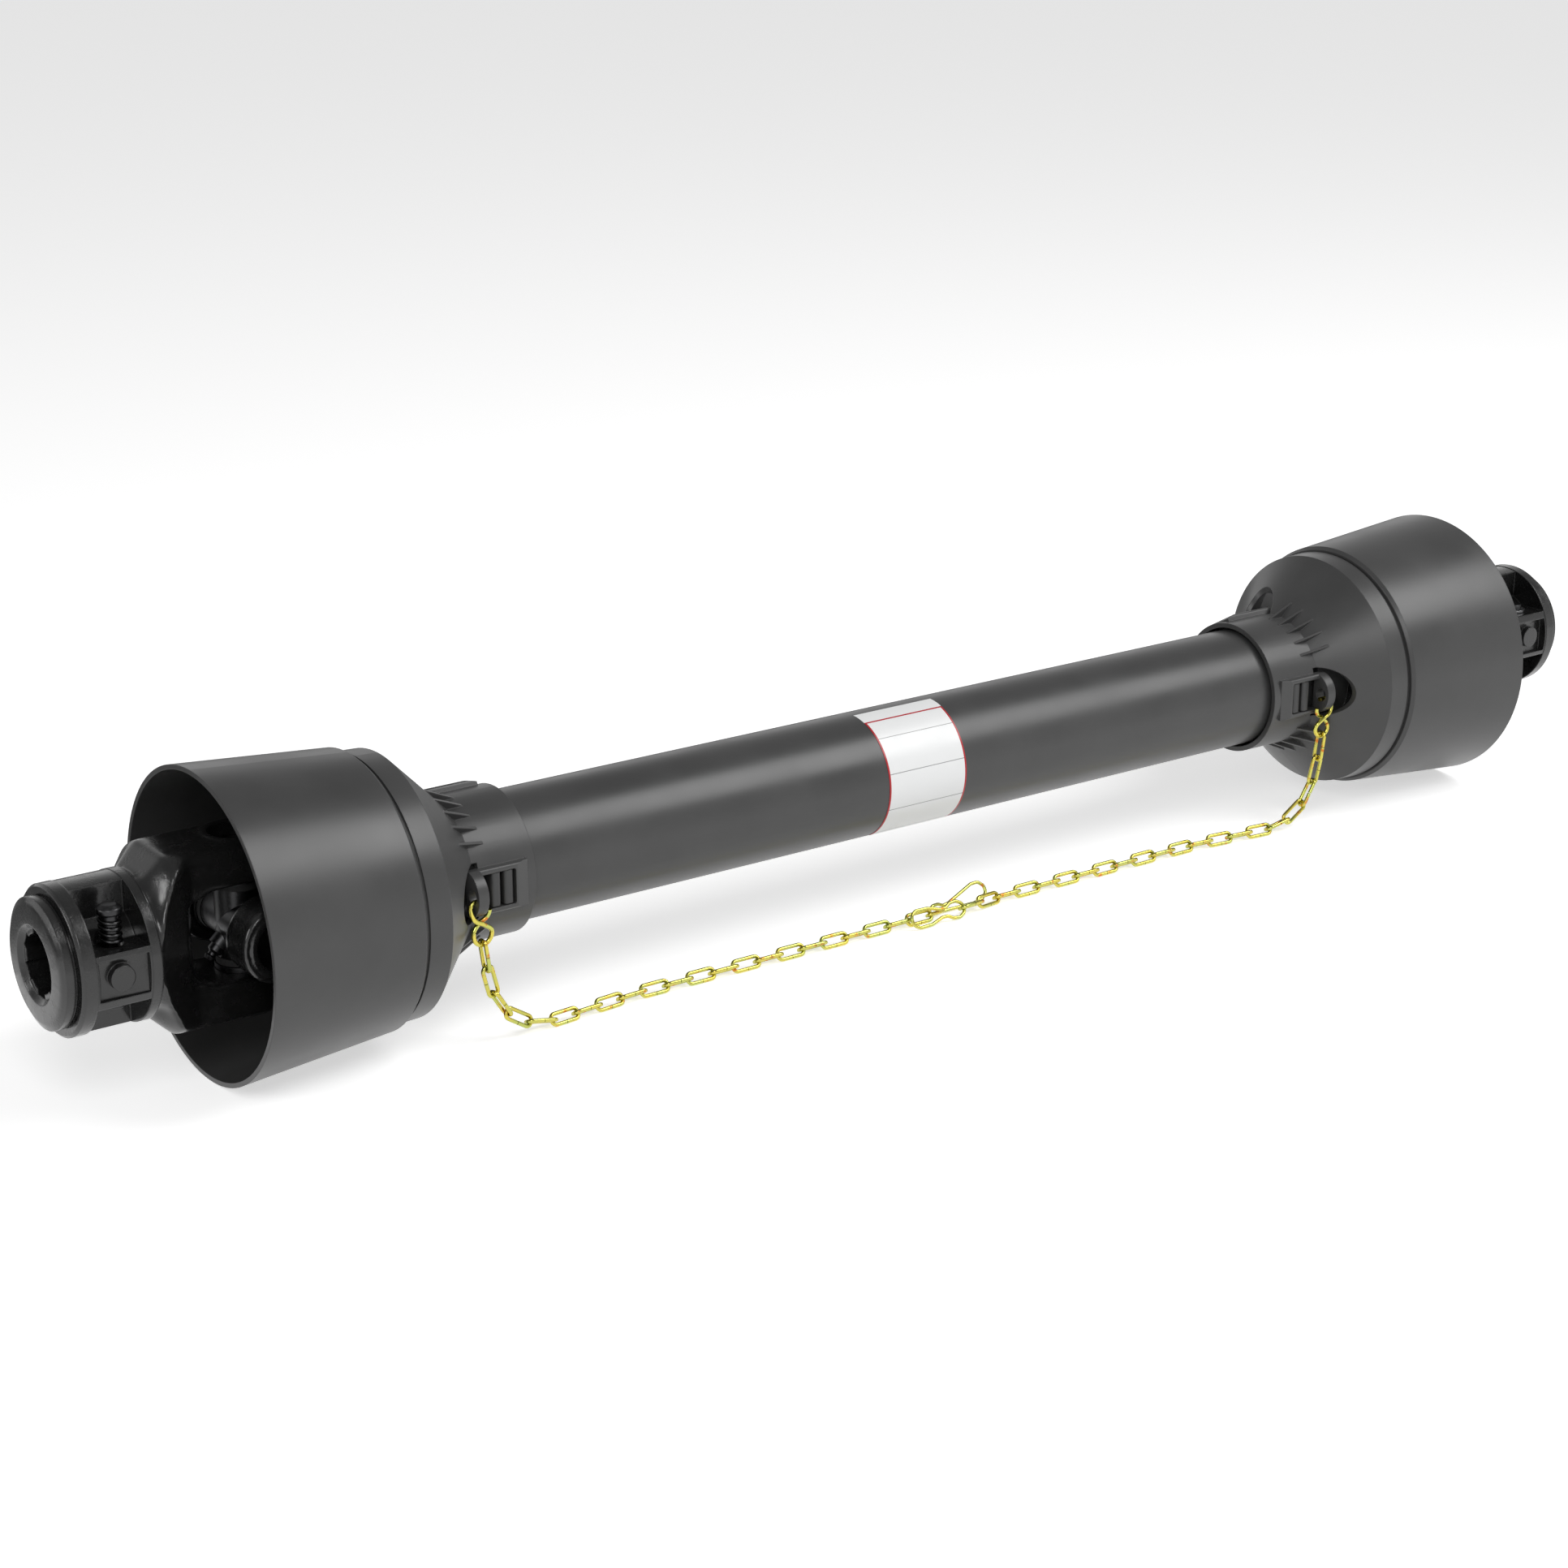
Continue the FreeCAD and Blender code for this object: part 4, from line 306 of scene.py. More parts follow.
def moulded_rubber(name, colour):
    """Nitrile rubber seal, moulded: dull black with a faint bloom."""
    material, tree, place = start_material(name)
    cloud = add(tree, "ShaderNodeTexNoise", {
        "Vector": place, "Scale": scale_for(2.5), "Detail": 3})
    bloom = add(tree, "ShaderNodeMapRange", {"Value": cloud, "From Min": 0.4, "From Max": 0.8})
    tone = add(tree, "ShaderNodeMix", {
        SHARE: bloom, FIRST: opaque(colour), SECOND: tinted(colour, 1.8)}, data_type="RGBA")
    shader = add(tree, "ShaderNodeBsdfPrincipled", {
        "Base Color": tone, "IOR": 1.5, "Roughness": 0.75})
    return close_material(material, tree, shader)


def line_at(tree, value, place, width):
    """1 where value lies within half a width of a place, 0 elsewhere."""
    away = add(tree, "ShaderNodeMath", {0: value, 1: place}, operation="SUBTRACT")
    away = add(tree, "ShaderNodeMath", {0: away}, operation="ABSOLUTE")
    return add(tree, "ShaderNodeMath", {0: away, 1: width / 2}, operation="LESS_THAN")


def printed_film(name, look):
    """White vinyl film with a gloss laminate: red side borders below a red cross line,
    thin grey lines between blank fields, and a hint of the tube's waviness."""
    material, tree, place = start_material(name)
    low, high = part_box("tube_label")
    radius = high[2]
    x, y, z = add(tree, "ShaderNodeSeparateXYZ", {0: place}).outputs
    front = add(tree, "ShaderNodeMath", {0: y, 1: -1.0}, operation="MULTIPLY")
    angle = add(tree, "ShaderNodeMath", {0: z, 1: front}, operation="ARCTAN2")
    round_way = add(tree, "ShaderNodeMath", {0: angle, 1: radius}, operation="MULTIPLY")
    middle = (low[0] + high[0]) / 2
    half = (high[0] - low[0]) / 2
    side = add(tree, "ShaderNodeMath", {0: x, 1: middle}, operation="SUBTRACT")
    side = add(tree, "ShaderNodeMath", {0: side}, operation="ABSOLUTE")
    top = math.radians(look.red_line) * radius
    border = line_at(tree, side, half, look.border * 2)
    below = add(tree, "ShaderNodeMath", {0: round_way, 1: top}, operation="LESS_THAN")
    border = add(tree, "ShaderNodeMath", {0: border, 1: below}, operation="MULTIPLY")
    cross_line = line_at(tree, round_way, top, look.border)
    reds = add(tree, "ShaderNodeMath", {0: border, 1: cross_line}, operation="MAXIMUM")
    tone = opaque(look.film)
    for number in range(look.fields):
        where = math.radians(look.first_field - look.field_pitch * number) * radius
        grey_line = line_at(tree, round_way, where, look.border / 2.5)
        tone = add(tree, "ShaderNodeMix", {
            SHARE: grey_line, FIRST: tone, SECOND: opaque(look.divider)}, data_type="RGBA")
    tone = add(tree, "ShaderNodeMix", {
        SHARE: reds, FIRST: tone, SECOND: opaque(look.line)}, data_type="RGBA")
    wave = add(tree, "ShaderNodeTexNoise", {
        "Vector": place, "Scale": scale_for(12), "Detail": 2})
    bump = add(tree, "ShaderNodeBump", {
        "Height": wave, "Strength": 0.1, "Distance": 0.2 * MM})
    gloss = add(tree, "ShaderNodeMapRange", {
        "Value": wave, "From Min": 0.3, "From Max": 0.7, "To Min": 0.28, "To Max": 0.38})
    shader = add(tree, "ShaderNodeBsdfPrincipled", {
        "Base Color": tone, "IOR": 1.5, "Roughness": gloss, "Normal": bump})
    return close_material(material, tree, shader)


# Geometry node trees

def start_tree(name, inputs):
    """A geometry tree with named inputs: (name, socket kind, default)."""
    tree = bpy.data.node_groups.new(name, "GeometryNodeTree")
    tree.interface.new_socket("Geometry", in_out="INPUT", socket_type="NodeSocketGeometry")
    for label, kind, default in inputs:
        socket = tree.interface.new_socket(label, in_out="INPUT", socket_type=kind)
        if default is not None:
            socket.default_value = default
    tree.interface.new_socket("Geometry", in_out="OUTPUT", socket_type="NodeSocketGeometry")
    return tree, add(tree, "NodeGroupInput").outputs


def close_tree(tree, shape, material):
    """Every tree ends in real geometry that carries its material."""
    real = add(tree, "GeometryNodeRealizeInstances", {"Geometry": shape})
    coated = add(tree, "GeometryNodeSetMaterial", {"Geometry": real, "Material": material})
    add(tree, "NodeGroupOutput", {0: coated})
    return tree


def round_bar(tree, path, radius, sides):
    """Sweeps a smooth round section along a curve, and closes its ends."""
    section = add(tree, "GeometryNodeCurvePrimitiveCircle",
                  {"Resolution": sides, "Radius": radius}, mode="RADIUS")
    bar = add(tree, "GeometryNodeCurveToMesh",
              {"Curve": path, "Profile Curve": section, "Fill Caps": True})
    return add(tree, "GeometryNodeSetShadeSmooth", {"Geometry": bar})


def bent_wire_tree():
    """A wire bent along a line of points, with a radius at each bend."""
    tree, given = start_tree("Bent Wire", [
        ("Wire Radius", "NodeSocketFloat", 1.1 * MM),
        ("Bend Radius", "NodeSocketFloat", 2.0 * MM),
        ("Bend Steps", "NodeSocketInt", 4),
        ("Sides", "NodeSocketInt", 12),
        ("Material", "NodeSocketMaterial", None),
    ])
    line = add(tree, "GeometryNodeMeshToCurve", {"Mesh": given["Geometry"]})
    bent = add(tree, "GeometryNodeFilletCurve", {
        "Curve": line, "Radius": given["Bend Radius"], "Count": given["Bend Steps"],
        "Limit Radius": True}, mode="POLY")
    bar = round_bar(tree, bent, given["Wire Radius"], given["Sides"])
    return close_tree(tree, bar, given["Material"])


def chain_tree():
    """One link on each point, turned as the point's own attribute says."""
    tree, given = start_tree("Chain", [
        ("Link", "NodeSocketObject", None),
        ("Material", "NodeSocketMaterial", None),
    ])
    turn = add(tree, "GeometryNodeInputNamedAttribute", {"Name": "turn"}, data_type="QUATERNION")
    link = add(tree, "GeometryNodeObjectInfo", {"Object": given["Link"]})
    links = add(tree, "GeometryNodeInstanceOnPoints", {
        "Points": given["Geometry"], "Instance": link.outputs["Geometry"],
        "Rotation": turn})
    return close_tree(tree, links, given["Material"])


def spring_tree():
    """A coil spring of round wire that stands on its first point."""
    tree, given = start_tree("Coil Spring", [
        ("Wire Radius", "NodeSocketFloat", 0.6 * MM),
        ("Coil Radius", "NodeSocketFloat", 5.3 * MM),
        ("Height", "NodeSocketFloat", 14 * MM),
        ("Turns", "NodeSocketFloat", 4.5),
        ("Foot", "NodeSocketVector", (0, 0, 0)),
        ("Sides", "NodeSocketInt", 8),
        ("Material", "NodeSocketMaterial", None),
    ])
    coil = add(tree, "GeometryNodeCurveSpiral", {
        "Resolution": 28, "Rotations": given["Turns"], "Start Radius": given["Coil Radius"],
        "End Radius": given["Coil Radius"], "Height": given["Height"]})
    bar = round_bar(tree, coil, given["Wire Radius"], given["Sides"])
    stood = add(tree, "GeometryNodeTransform", {"Geometry": bar, "Translation": given["Foot"]})
    return close_tree(tree, stood, given["Material"])


def grow(piece, tree, values):
    """Runs a tree on a piece with the given inputs, and keeps the plain mesh."""
    modifier = piece.modifiers.new(tree.name, "NODES")
    modifier.node_group = tree
    for socket in tree.interface.items_tree:
        if socket.in_out == "INPUT" and socket.name in values:
            modifier[socket.identifier] = values[socket.name]
    baked(piece)
    facing_out(piece.data)
    return piece


# Settings

def colour_setting(name, description, code):
    """A colour that a user can change, from its sRGB hex value."""
    return bpy.props.FloatVectorProperty(
        name=name, description=description, subtype="COLOR", size=3, min=0, max=1,
        default=linear(code))


def length_setting(name, description, **limits):
    """A length in metres that a user can change, with its min, max and default."""
    return bpy.props.FloatProperty(
        name=name, description=description, subtype="DISTANCE", unit="LENGTH", precision=5,
        **limits)


class GuardSettings(bpy.types.PropertyGroup):
    plastic: colour_setting("Plastic", "Colour of the moulded guards", "#3b3b3b")
    nylon: colour_setting("Nylon", "Colour of the bearing rings", "#303030")
    roughness: bpy.props.FloatProperty(
        name="Roughness", description="How dull the mould left the guards", subtype="FACTOR",
        min=0, max=1, default=0.33)


class YokeSettings(bpy.types.PropertyGroup):
    enamel: colour_setting("Enamel", "Colour of the yokes' paint", "#161616")
    roughness: bpy.props.FloatProperty(
        name="Roughness", description="Dullness of the yokes' paint", subtype="FACTOR",
        min=0, max=1, default=0.23)
    pebble: bpy.props.FloatProperty(
        name="Pebble (mm)", description="Size of the bumps on the forged skin",
        min=0.2, max=10, default=1.5)
    cell: length_setting(
        "Cell", "Size of a face of the forging's mesh", min=0.0005, max=0.004, default=0.8 * MM)
    rounding: bpy.props.IntProperty(
        name="Rounding", description="Smoothing steps that round the forks' edges",
        min=0, max=120, default=45)
    hub_share: bpy.props.FloatProperty(
        name="Hub Rounding", description="How much of the forks' rounding the hubs get",
        subtype="FACTOR", min=0, max=1, default=0.06)
    hollow: length_setting(
        "Hollow", "Depth of the hollows between fork and hub", min=0, max=0.006, default=3.5 * MM)
    seam: length_setting(
        "Seam", "From the cross to the seam between fork and hub",
        min=0.05, max=0.064, default=57 * MM)
    face_radius: length_setting(
        "Face Radius", "Radius of the flat ring round the splined bore",
        min=0.018, max=0.032, default=21.5 * MM)
    pad_depth: length_setting(
        "Pad Depth", "How much deeper the sunk pad lies", min=0, max=0.003, default=1.5 * MM)
    boss_growth: length_setting(
        "Boss Growth", "How much further the boss on the pad stands out",
        min=0, max=0.002, default=0.7 * MM)


class SteelSettings(bpy.types.PropertyGroup):
    bright: colour_setting("Bright Steel", "Colour of the turned and ground parts", "#b4b5b6")
    drawn: colour_setting("Drawn Steel", "Colour of the drive tubes", "#8f9091")
    black: colour_setting(
        "Blackened Steel", "Colour of crosses, caps, circlips, nipples, push pins and springs",
        "#444445")
    rubber: colour_setting("Rubber", "Colour of the seals", "#1d1d1d")
    pin_cell: length_setting(
        "Pin Cell", "Size of a face of the push pins' mesh",
        min=0.0002, max=0.002, default=0.4 * MM)
    pin_rounding: bpy.props.IntProperty(
        name="Pin Rounding", description="Smoothing steps that round the push pins' edges",
        min=0, max=60, default=14)


class ChainSettings(bpy.types.PropertyGroup):
    zinc: colour_setting("Zinc", "Plain colour of the yellow zinc", "#d2c35a")
    green: colour_setting("Green Film", "Colour of the zinc where its film is thin", "#b9bf66")
    red: colour_setting("Red Film", "Colour of the zinc where its film is thick", "#cc7a35")
    roughness: bpy.props.FloatProperty(
        name="Roughness", description="Dullness of the zinc", subtype="FACTOR",
        min=0, max=1, default=0.2)
    wire: length_setting(
        "Link Wire", "Radius of a link's wire", min=0.0005, max=0.01, default=1.1 * MM)
    length: length_setting(
        "Link Opening", "Length of a link's opening", min=0.002, max=0.1, default=14.9 * MM)
    width: length_setting(
        "Link Gap", "Width of a link's opening", min=0.001, max=0.1, default=3.6 * MM)
    corner: length_setting(
        "Link Corner", "Bend in a link's centre line", min=0.0005, max=0.05, default=2.5 * MM)
    seam: length_setting(
        "Link Seam", "Slit where a link's wire ends meet", min=0, max=0.01, default=0.35 * MM)
    hook_wire: length_setting(
        "Hook Wire", "Radius of the chain hooks' wire", min=0.0005, max=0.01, default=1.25 * MM)
    snap_wire: length_setting(
        "Snap Wire", "Radius of the snap hooks' wire", min=0.0005, max=0.01, default=1.0 * MM)


class SpringSettings(bpy.types.PropertyGroup):
    wire: length_setting(
        "Wire", "Radius of the push pin's spring wire", min=0.0002, max=0.005, default=1.0 * MM)
    turns: bpy.props.FloatProperty(
        name="Turns", description="Turns of the push pin's spring", min=1, max=30, default=4.2)


class LabelSettings(bpy.types.PropertyGroup):
    film: colour_setting("Film", "Colour of the label", "#f1f2f2")
    line: colour_setting("Border", "Colour of the label's borders", "#b8202a")
    divider: colour_setting("Divider", "Colour of the lines between the fields", "#9a9a9a")
    border: length_setting(
        "Border Width", "Width of the label's borders", min=0.0002, max=0.01, default=1.1 * MM)
    red_line: bpy.props.FloatProperty(
        name="Cross Line", description="Angle of the red cross line above the front, in degrees",
        min=-90, max=90, default=70.6)
    first_field: bpy.props.FloatProperty(
        name="First Divider", description="Angle of the highest divider, in degrees",
        min=-90, max=90, default=49.5)
    field_pitch: bpy.props.FloatProperty(
        name="Field Height", description="Angle between two dividers, in degrees",
        min=5, max=90, default=34.6)
    fields: bpy.props.IntProperty(
        name="Dividers", description="Number of dividers", min=0, max=12, default=4)


class StageSettings(bpy.types.PropertyGroup):
    floor: colour_setting("Floor", "Colour of the floor", "#f0f0f0")
    sky: bpy.props.FloatProperty(
        name="Sky", description="Strength of the light from all round", min=0, max=2, default=0.6)
    key: bpy.props.FloatProperty(
        name="Key Light", description="Power of the main soft light", subtype="POWER",
        unit="POWER", min=0, max=500, default=30)
    fill: bpy.props.FloatProperty(
        name="Fill Light", description="Power of the second soft light", subtype="POWER",
        unit="POWER", min=0, max=500, default=14)
    rim: bpy.props.FloatProperty(
        name="Rim Light", description="Power of the soft light at the left", subtype="POWER",
        unit="POWER", min=0, max=500, default=10)
    focal: bpy.props.FloatProperty(
        name="Focal Length", description="Focal length of the camera", subtype="DISTANCE_CAMERA",
        unit="CAMERA", min=1, max=300, default=74.723)


# Guards and label

NYLON_DULLER = 0.06  # more roughness than the guards have


class SHAFT_OT_guards(bpy.types.Operator):
    """Gives guards and bearing rings their moulded finish"""
    bl_idname = "shaft.guards"
    bl_label = "Finish Guards"

    def execute(self, context):
        look = context.scene.shaft_guard
        plastic = moulded_polyethylene("moulded black polyethylene", look.plastic, look.roughness)
        nylon = moulded_polyethylene("moulded black nylon", look.nylon,
                                     look.roughness + NYLON_DULLER)
        dress(plastic, *both("guard_cone"), "guard_tube_outer", "guard_tube_inner")
        dress(nylon, *both("bearing_ring"))
        return {"FINISHED"}


class SHAFT_OT_label(bpy.types.Operator):
    """Prints the blank label's borders and dividers"""
    bl_idname = "shaft.label"
    bl_label = "Print Label"

    def execute(self, context):
        look = context.scene.shaft_label
        dress(printed_film("laminated vinyl film", look), "tube_label")
        return {"FINISHED"}


# Forged yokes. Outward counts from the cross along the shaft, and height along the
# fork's own arm towards a cap.

CAP_BORE_RADIUS, CAP_BORE_FROM = 15.2 * MM, 22 * MM  # round the arm, and in height
CAP_RING_RADIUS, CAP_RING_FROM = 18 * MM, 40 * MM
SPLINE_RADIUS, SPLINE_FROM = 18.6 * MM, 28 * MM      # round the shaft, and outward
TUBE_HUB_FROM = 47 * MM                              # from the cross, inward
HUB_FROM = {"implement": 50 * MM, "tube": 40 * MM}   # where the rounding begins to fade
HUB_BLEND = 7 * MM                                   # and over what length it does
SHARP_ANGLE = math.radians(32)                       # least angle of an edge kept sharp
ON_THE_RING = 0.05 * MM                              # how near a point on the ring lies
SEAM_OVERLAP = 0.5 * MM                              # of fork and hub

# In millimetres: middle and spread of the hollows, outward, to the front and up.
HOLLOW_MIDDLE = (50, 25, 28)
HOLLOW_SPREAD = (7, 8, 8)

# The implement yoke's faces that are moved, in millimetres: their least radius round the
# shaft or their range to the front, and their range outward.
END_RIM, END_FROM = 28, 107.9
BEVEL_RIM, BEVEL_RANGE, BEVEL_GROWTH = 32, (105.5, 106), 0.75
POCKET_RIM, POCKETS_TO, POCKET_GROWTH, FLANGE_RADIUS = 36.2, 92.1, 0.8, 38
PAD_FRONT, PAD_RANGE = (33.9, 34.1), (64.5, 91.5)
BOSS_FRONT, BOSS_RANGE = (35.5, 35.7), (70, 90)


def from_cross(point, end, kind):
    """A point's distance from the cross: outward, and round and along the fork's own arm."""
    local = point - cross_at[end]
    across, height = (local.y, local.z) if kind == "implement" else (local.z, local.y)
    return local.x * ENDS[end], math.hypot(local.x, across), abs(height)


def is_machined(point, end, kind):
    """True on the faces that were cut after forging: cap bores, splined bore and tube hub."""
    outward, round_arm, height = from_cross(point, end, kind)
    if round_arm < CAP_BORE_RADIUS and height > CAP_BORE_FROM:
        return True
    if kind == "tube":
        return outward < -TUBE_HUB_FROM
    return math.hypot(point.y, point.z) < SPLINE_RADIUS and outward > SPLINE_FROM


def rounding_share(point, end, kind, look):
    """Full rounding on the fork, and little on the hub and on the ring round each cap."""
    outward, round_arm, height = from_cross(point, end, kind)
    if round_arm < CAP_RING_RADIUS and height > CAP_RING_FROM:
        return look.hub_share
    away = outward if kind == "implement" else -outward
    blend = min(max((away - HUB_FROM[kind]) / HUB_BLEND, 0), 1)
    return 1 + (look.hub_share - 1) * blend


def press_in(piece, end, look):
    """Hollows the flanks where the fork's arms run into the hub."""
    sign = ENDS[end]
    for vertex in piece.data.vertices:
        local = (vertex.co - cross_at[end]) / MM
        outward, front, up = local.x * sign, -local.y, local.z * -sign
        away = [(here - middle) / spread for here, middle, spread
                in zip((outward, abs(front), abs(up)), HOLLOW_MIDDLE, HOLLOW_SPREAD)]
        beside = math.exp(-sum(part ** 2 for part in away))
        squeeze = 1 - beside * look.hollow / MM / max(math.hypot(front, up), 1)
        vertex.co.y *= squeeze
        vertex.co.z *= squeeze


def even_copy(node, cell):
    """A CAD node's shape as one mesh of even faces."""
    piece = new_piece("forged_" + node, merged_copy(node))
    cells = piece.modifiers.new("Cells", "REMESH")
    cells.mode = "VOXEL"
    cells.voxel_size = cell
    cells.use_smooth_shade = True
    return baked(piece)


def mark(piece, name, share):
    """A vertex group that holds a share for each point."""
    group = piece.vertex_groups.new(name=name)
    for vertex in piece.data.vertices:
        group.add([vertex.index], share(vertex.co), "REPLACE")
    return group.name


def round_off(piece, steps, share):
    rounding = piece.modifiers.new("Rounding", "SMOOTH")
    rounding.vertex_group = mark(piece, "soft", share)
    rounding.factor = 0.5
    rounding.iterations = steps


def true_up(piece, node, share):
    """Draws the marked faces back onto the CAD node's own."""
    wrap = piece.modifiers.new("Machined", "SHRINKWRAP")
    wrap.target = nodes[node]
    wrap.vertex_group = mark(piece, "cut", share)
    wrap.wrap_method = "NEAREST_SURFACEPOINT"


def forge(kind, end, look):
    """A yoke's CAD mesh as one forging: even faces, rounded edges, machined faces kept."""
    node = kind + "_yoke_" + end
    piece = even_copy(node, look.cell)
    if kind == "implement":
        press_in(piece, end, look)
    round_off(piece, look.rounding, lambda p: 0 if is_machined(p, end, kind)
              else rounding_share(p, end, kind, look))
    true_up(piece, node, lambda p: 1 if is_machined(p, end, kind) else 0)
    baked(piece)
    piece.vertex_groups.clear()
    return piece


def one_side(mesh, end, seam, hub):
    """The hub's or the fork's side of a yoke's mesh, closed where it is cut."""
    surface = bmesh.new()
    surface.from_mesh(mesh)
    bmesh.ops.bisect_plane(
        surface, geom=surface.verts[:] + surface.edges[:] + surface.faces[:],
        plane_co=(cross_at[end].x + ENDS[end] * seam, 0, 0), plane_no=(ENDS[end], 0, 0),
        clear_inner=hub, clear_outer=not hub)
    rim = [edge for edge in surface.edges if edge.is_boundary]
    bmesh.ops.triangle_fill(surface, use_beauty=True, edges=rim)
    bmesh.ops.recalc_face_normals(surface, faces=surface.faces[:])
    return surface


def within(value, limits):
    return limits[0] < value < limits[1]


def finish_hub(surface, end, look):
    """Widens the bevel of the nose, sinks the pad round its boss, and brings the pocket
    zone out to the flange."""
    for vertex in surface.verts:
        place = vertex.co
        outward = (place.x - cross_at[end].x) * ENDS[end] / MM
        front, up = -place.y / MM, place.z * -ENDS[end] / MM
        radius = math.hypot(front, up)
        grown = radius
        if outward > END_FROM and radius > END_RIM:
            grown = look.face_radius / MM
        elif within(outward, BEVEL_RANGE) and radius > BEVEL_RIM:
            place.x -= ENDS[end] * BEVEL_GROWTH * MM
        elif outward < POCKETS_TO and radius > POCKET_RIM:
            grown = min(radius + POCKET_GROWTH, FLANGE_RADIUS)
        elif within(front, PAD_FRONT) and within(outward, PAD_RANGE):
            place.y += look.pad_depth
        elif within(front, BOSS_FRONT) and within(outward, BOSS_RANGE):
            place.y -= look.boss_growth
        place.y *= grown / radius
        place.z *= grown / radius
    for face in surface.faces:
        face.smooth = True
    for edge in surface.edges:
        on_face_ring = all(abs(math.hypot(v.co.y, v.co.z) - look.face_radius) < ON_THE_RING
                           for v in edge.verts)
        edge.smooth = edge.calc_face_angle(0) < SHARP_ANGLE and not on_face_ring


def with_crisp_hub(piece, end, look):
    """An implement yoke whose fork is the forged piece, and whose hub has the CAD node's
    own faces. The two overlap a little at the seam."""
    fork = one_side(piece.data, end, look.seam + SEAM_OVERLAP, False)
    for face in fork.faces:
        face.smooth = True
    fork.to_mesh(piece.data)
    fork.free()
    hub = one_side(merged_copy("implement_yoke_" + end), end, look.seam, True)
    finish_hub(hub, end, look)
    hub.from_mesh(piece.data)
    hub.to_mesh(piece.data)
    hub.free()
    level = piece.modifiers.new("Level", "WEIGHTED_NORMAL")
    level.keep_sharp = True
    baked(piece)


class SHAFT_OT_yokes(bpy.types.Operator):
    """Forges and paints the four yokes"""
    bl_idname = "shaft.yokes"
    bl_label = "Forge Yokes"

    def execute(self, context):
        look = context.scene.shaft_yoke
        enamel = enamelled_forging("black enamel on forged steel", look.enamel, look.roughness,
                                   look.pebble)
        for end in ENDS:
            for kind in ("implement", "tube"):
                piece = forge(kind, end, look)
                if kind == "implement":
                    with_crisp_hub(piece, end, look)
                coat(piece.data, enamel)
                seat(piece, kind + "_yoke_" + end)
        return {"FINISHED"}


class SHAFT_OT_joints(bpy.types.Operator):
    """Finishes crosses, bearings, circlips, seals, tubes and pins"""
    bl_idname = "shaft.joints"
    bl_label = "Finish Joint Parts"

    def execute(self, context):
        look = context.scene.shaft_steel
        ground = plain_steel("plain pressed steel", look.bright, roughness=0.32, mark_mm=1.2)
        drawn = plain_steel("cold drawn tube steel", look.drawn, roughness=0.42, mark_mm=4.0)
        black = plain_steel("blackened and oiled steel", look.black, roughness=0.36, mark_mm=1.5)
        rubber = moulded_rubber("moulded nitrile rubber", look.rubber)
        caps = ["bearing_cap_" + side for side in ("top", "bottom", "front", "back")]
        for name in ("roll_pin", "pin_clip"):
            dress(ground, *both(name))
        for name in caps + ["cross", "grease_nipple", "circlips_implement", "circlips_tube"]:
            dress(black, *both(name))
        for node in both("push_pin"):
            pin = even_copy(node, look.pin_cell)
            round_off(pin, look.pin_rounding, lambda p: 1)
            baked(pin)
            pin.vertex_groups.clear()
            coat(pin.data, black)
            seat(pin, node)
        dress(drawn, "drive_tube_outer", "drive_tube_inner")
        dress(rubber, *both("cross_seals"))
        return {"FINISHED"}


class SHAFT_OT_springs(bpy.types.Operator):
    """Winds the push pins' springs"""
    bl_idname = "shaft.springs"
    bl_label = "Wind Springs"

    def execute(self, context):
        look = context.scene.shaft_spring
        steel = plain_steel("oil tempered spring wire", context.scene.shaft_steel.black,
                            roughness=0.3, mark_mm=0.8)
        tree = spring_tree()
        for end, sign in ENDS.items():
            node = "pin_spring_" + end
            low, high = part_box(node)
            middle = (low + high) / 2
            coil = (high.y - low.y) / 2 - look.wire
            foot = Vector((middle.x, middle.y, low.z + look.wire))
            piece = grow(new_piece("wound_" + node, bpy.data.meshes.new(node)), tree, {
                "Wire Radius": look.wire, "Coil Radius": coil, "Turns": look.turns,
                "Height": high.z - low.z - look.wire * 2, "Foot": foot, "Material": steel})
            seat(piece, node)
            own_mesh(piece)
        return {"FINISHED"}


# Chains and hooks

def link_line(look):
    """Centre line of one link, open at the seam in the middle of one side."""
    reach = look.length / 2 + look.wire
    half = look.width / 2 + look.wire
    corners = [(look.seam / 2, -half), (reach, -half), (reach, half), (-reach, half),
               (-reach, -half), (-look.seam / 2, -half)]
    return [Vector((x, y, 0)) for x, y in corners]


def line_mesh(name, points, closed=False):
    count = len(points)
    edges = [(i, i + 1) for i in range(count - 1)]
    if closed:
        edges.append((count - 1, 0))
    mesh = bpy.data.meshes.new(name)
    mesh.from_pydata(points, edges, [])
    return mesh


def islands(node):
    """The corners of each separate solid of a CAD node."""
    surface = bmesh.new()
    surface.from_mesh(merged_copy(node))
    left = set(surface.verts)
    groups = []
    while left:
        found = {left.pop()}
        edge = set(found)
        while edge:
            edge = {e.other_vert(v) for v in edge for e in v.link_edges} - found
            found |= edge
        left -= found
        groups.append([v.co.copy() for v in found])
    surface.free()
    return groups


def longest_way(spread, way):
    """The direction in which a link's corners spread most: any direction turns to it
    when the spread is applied to it again and again."""
    for _ in range(60):
        way = (spread @ way).normalized()
    return way


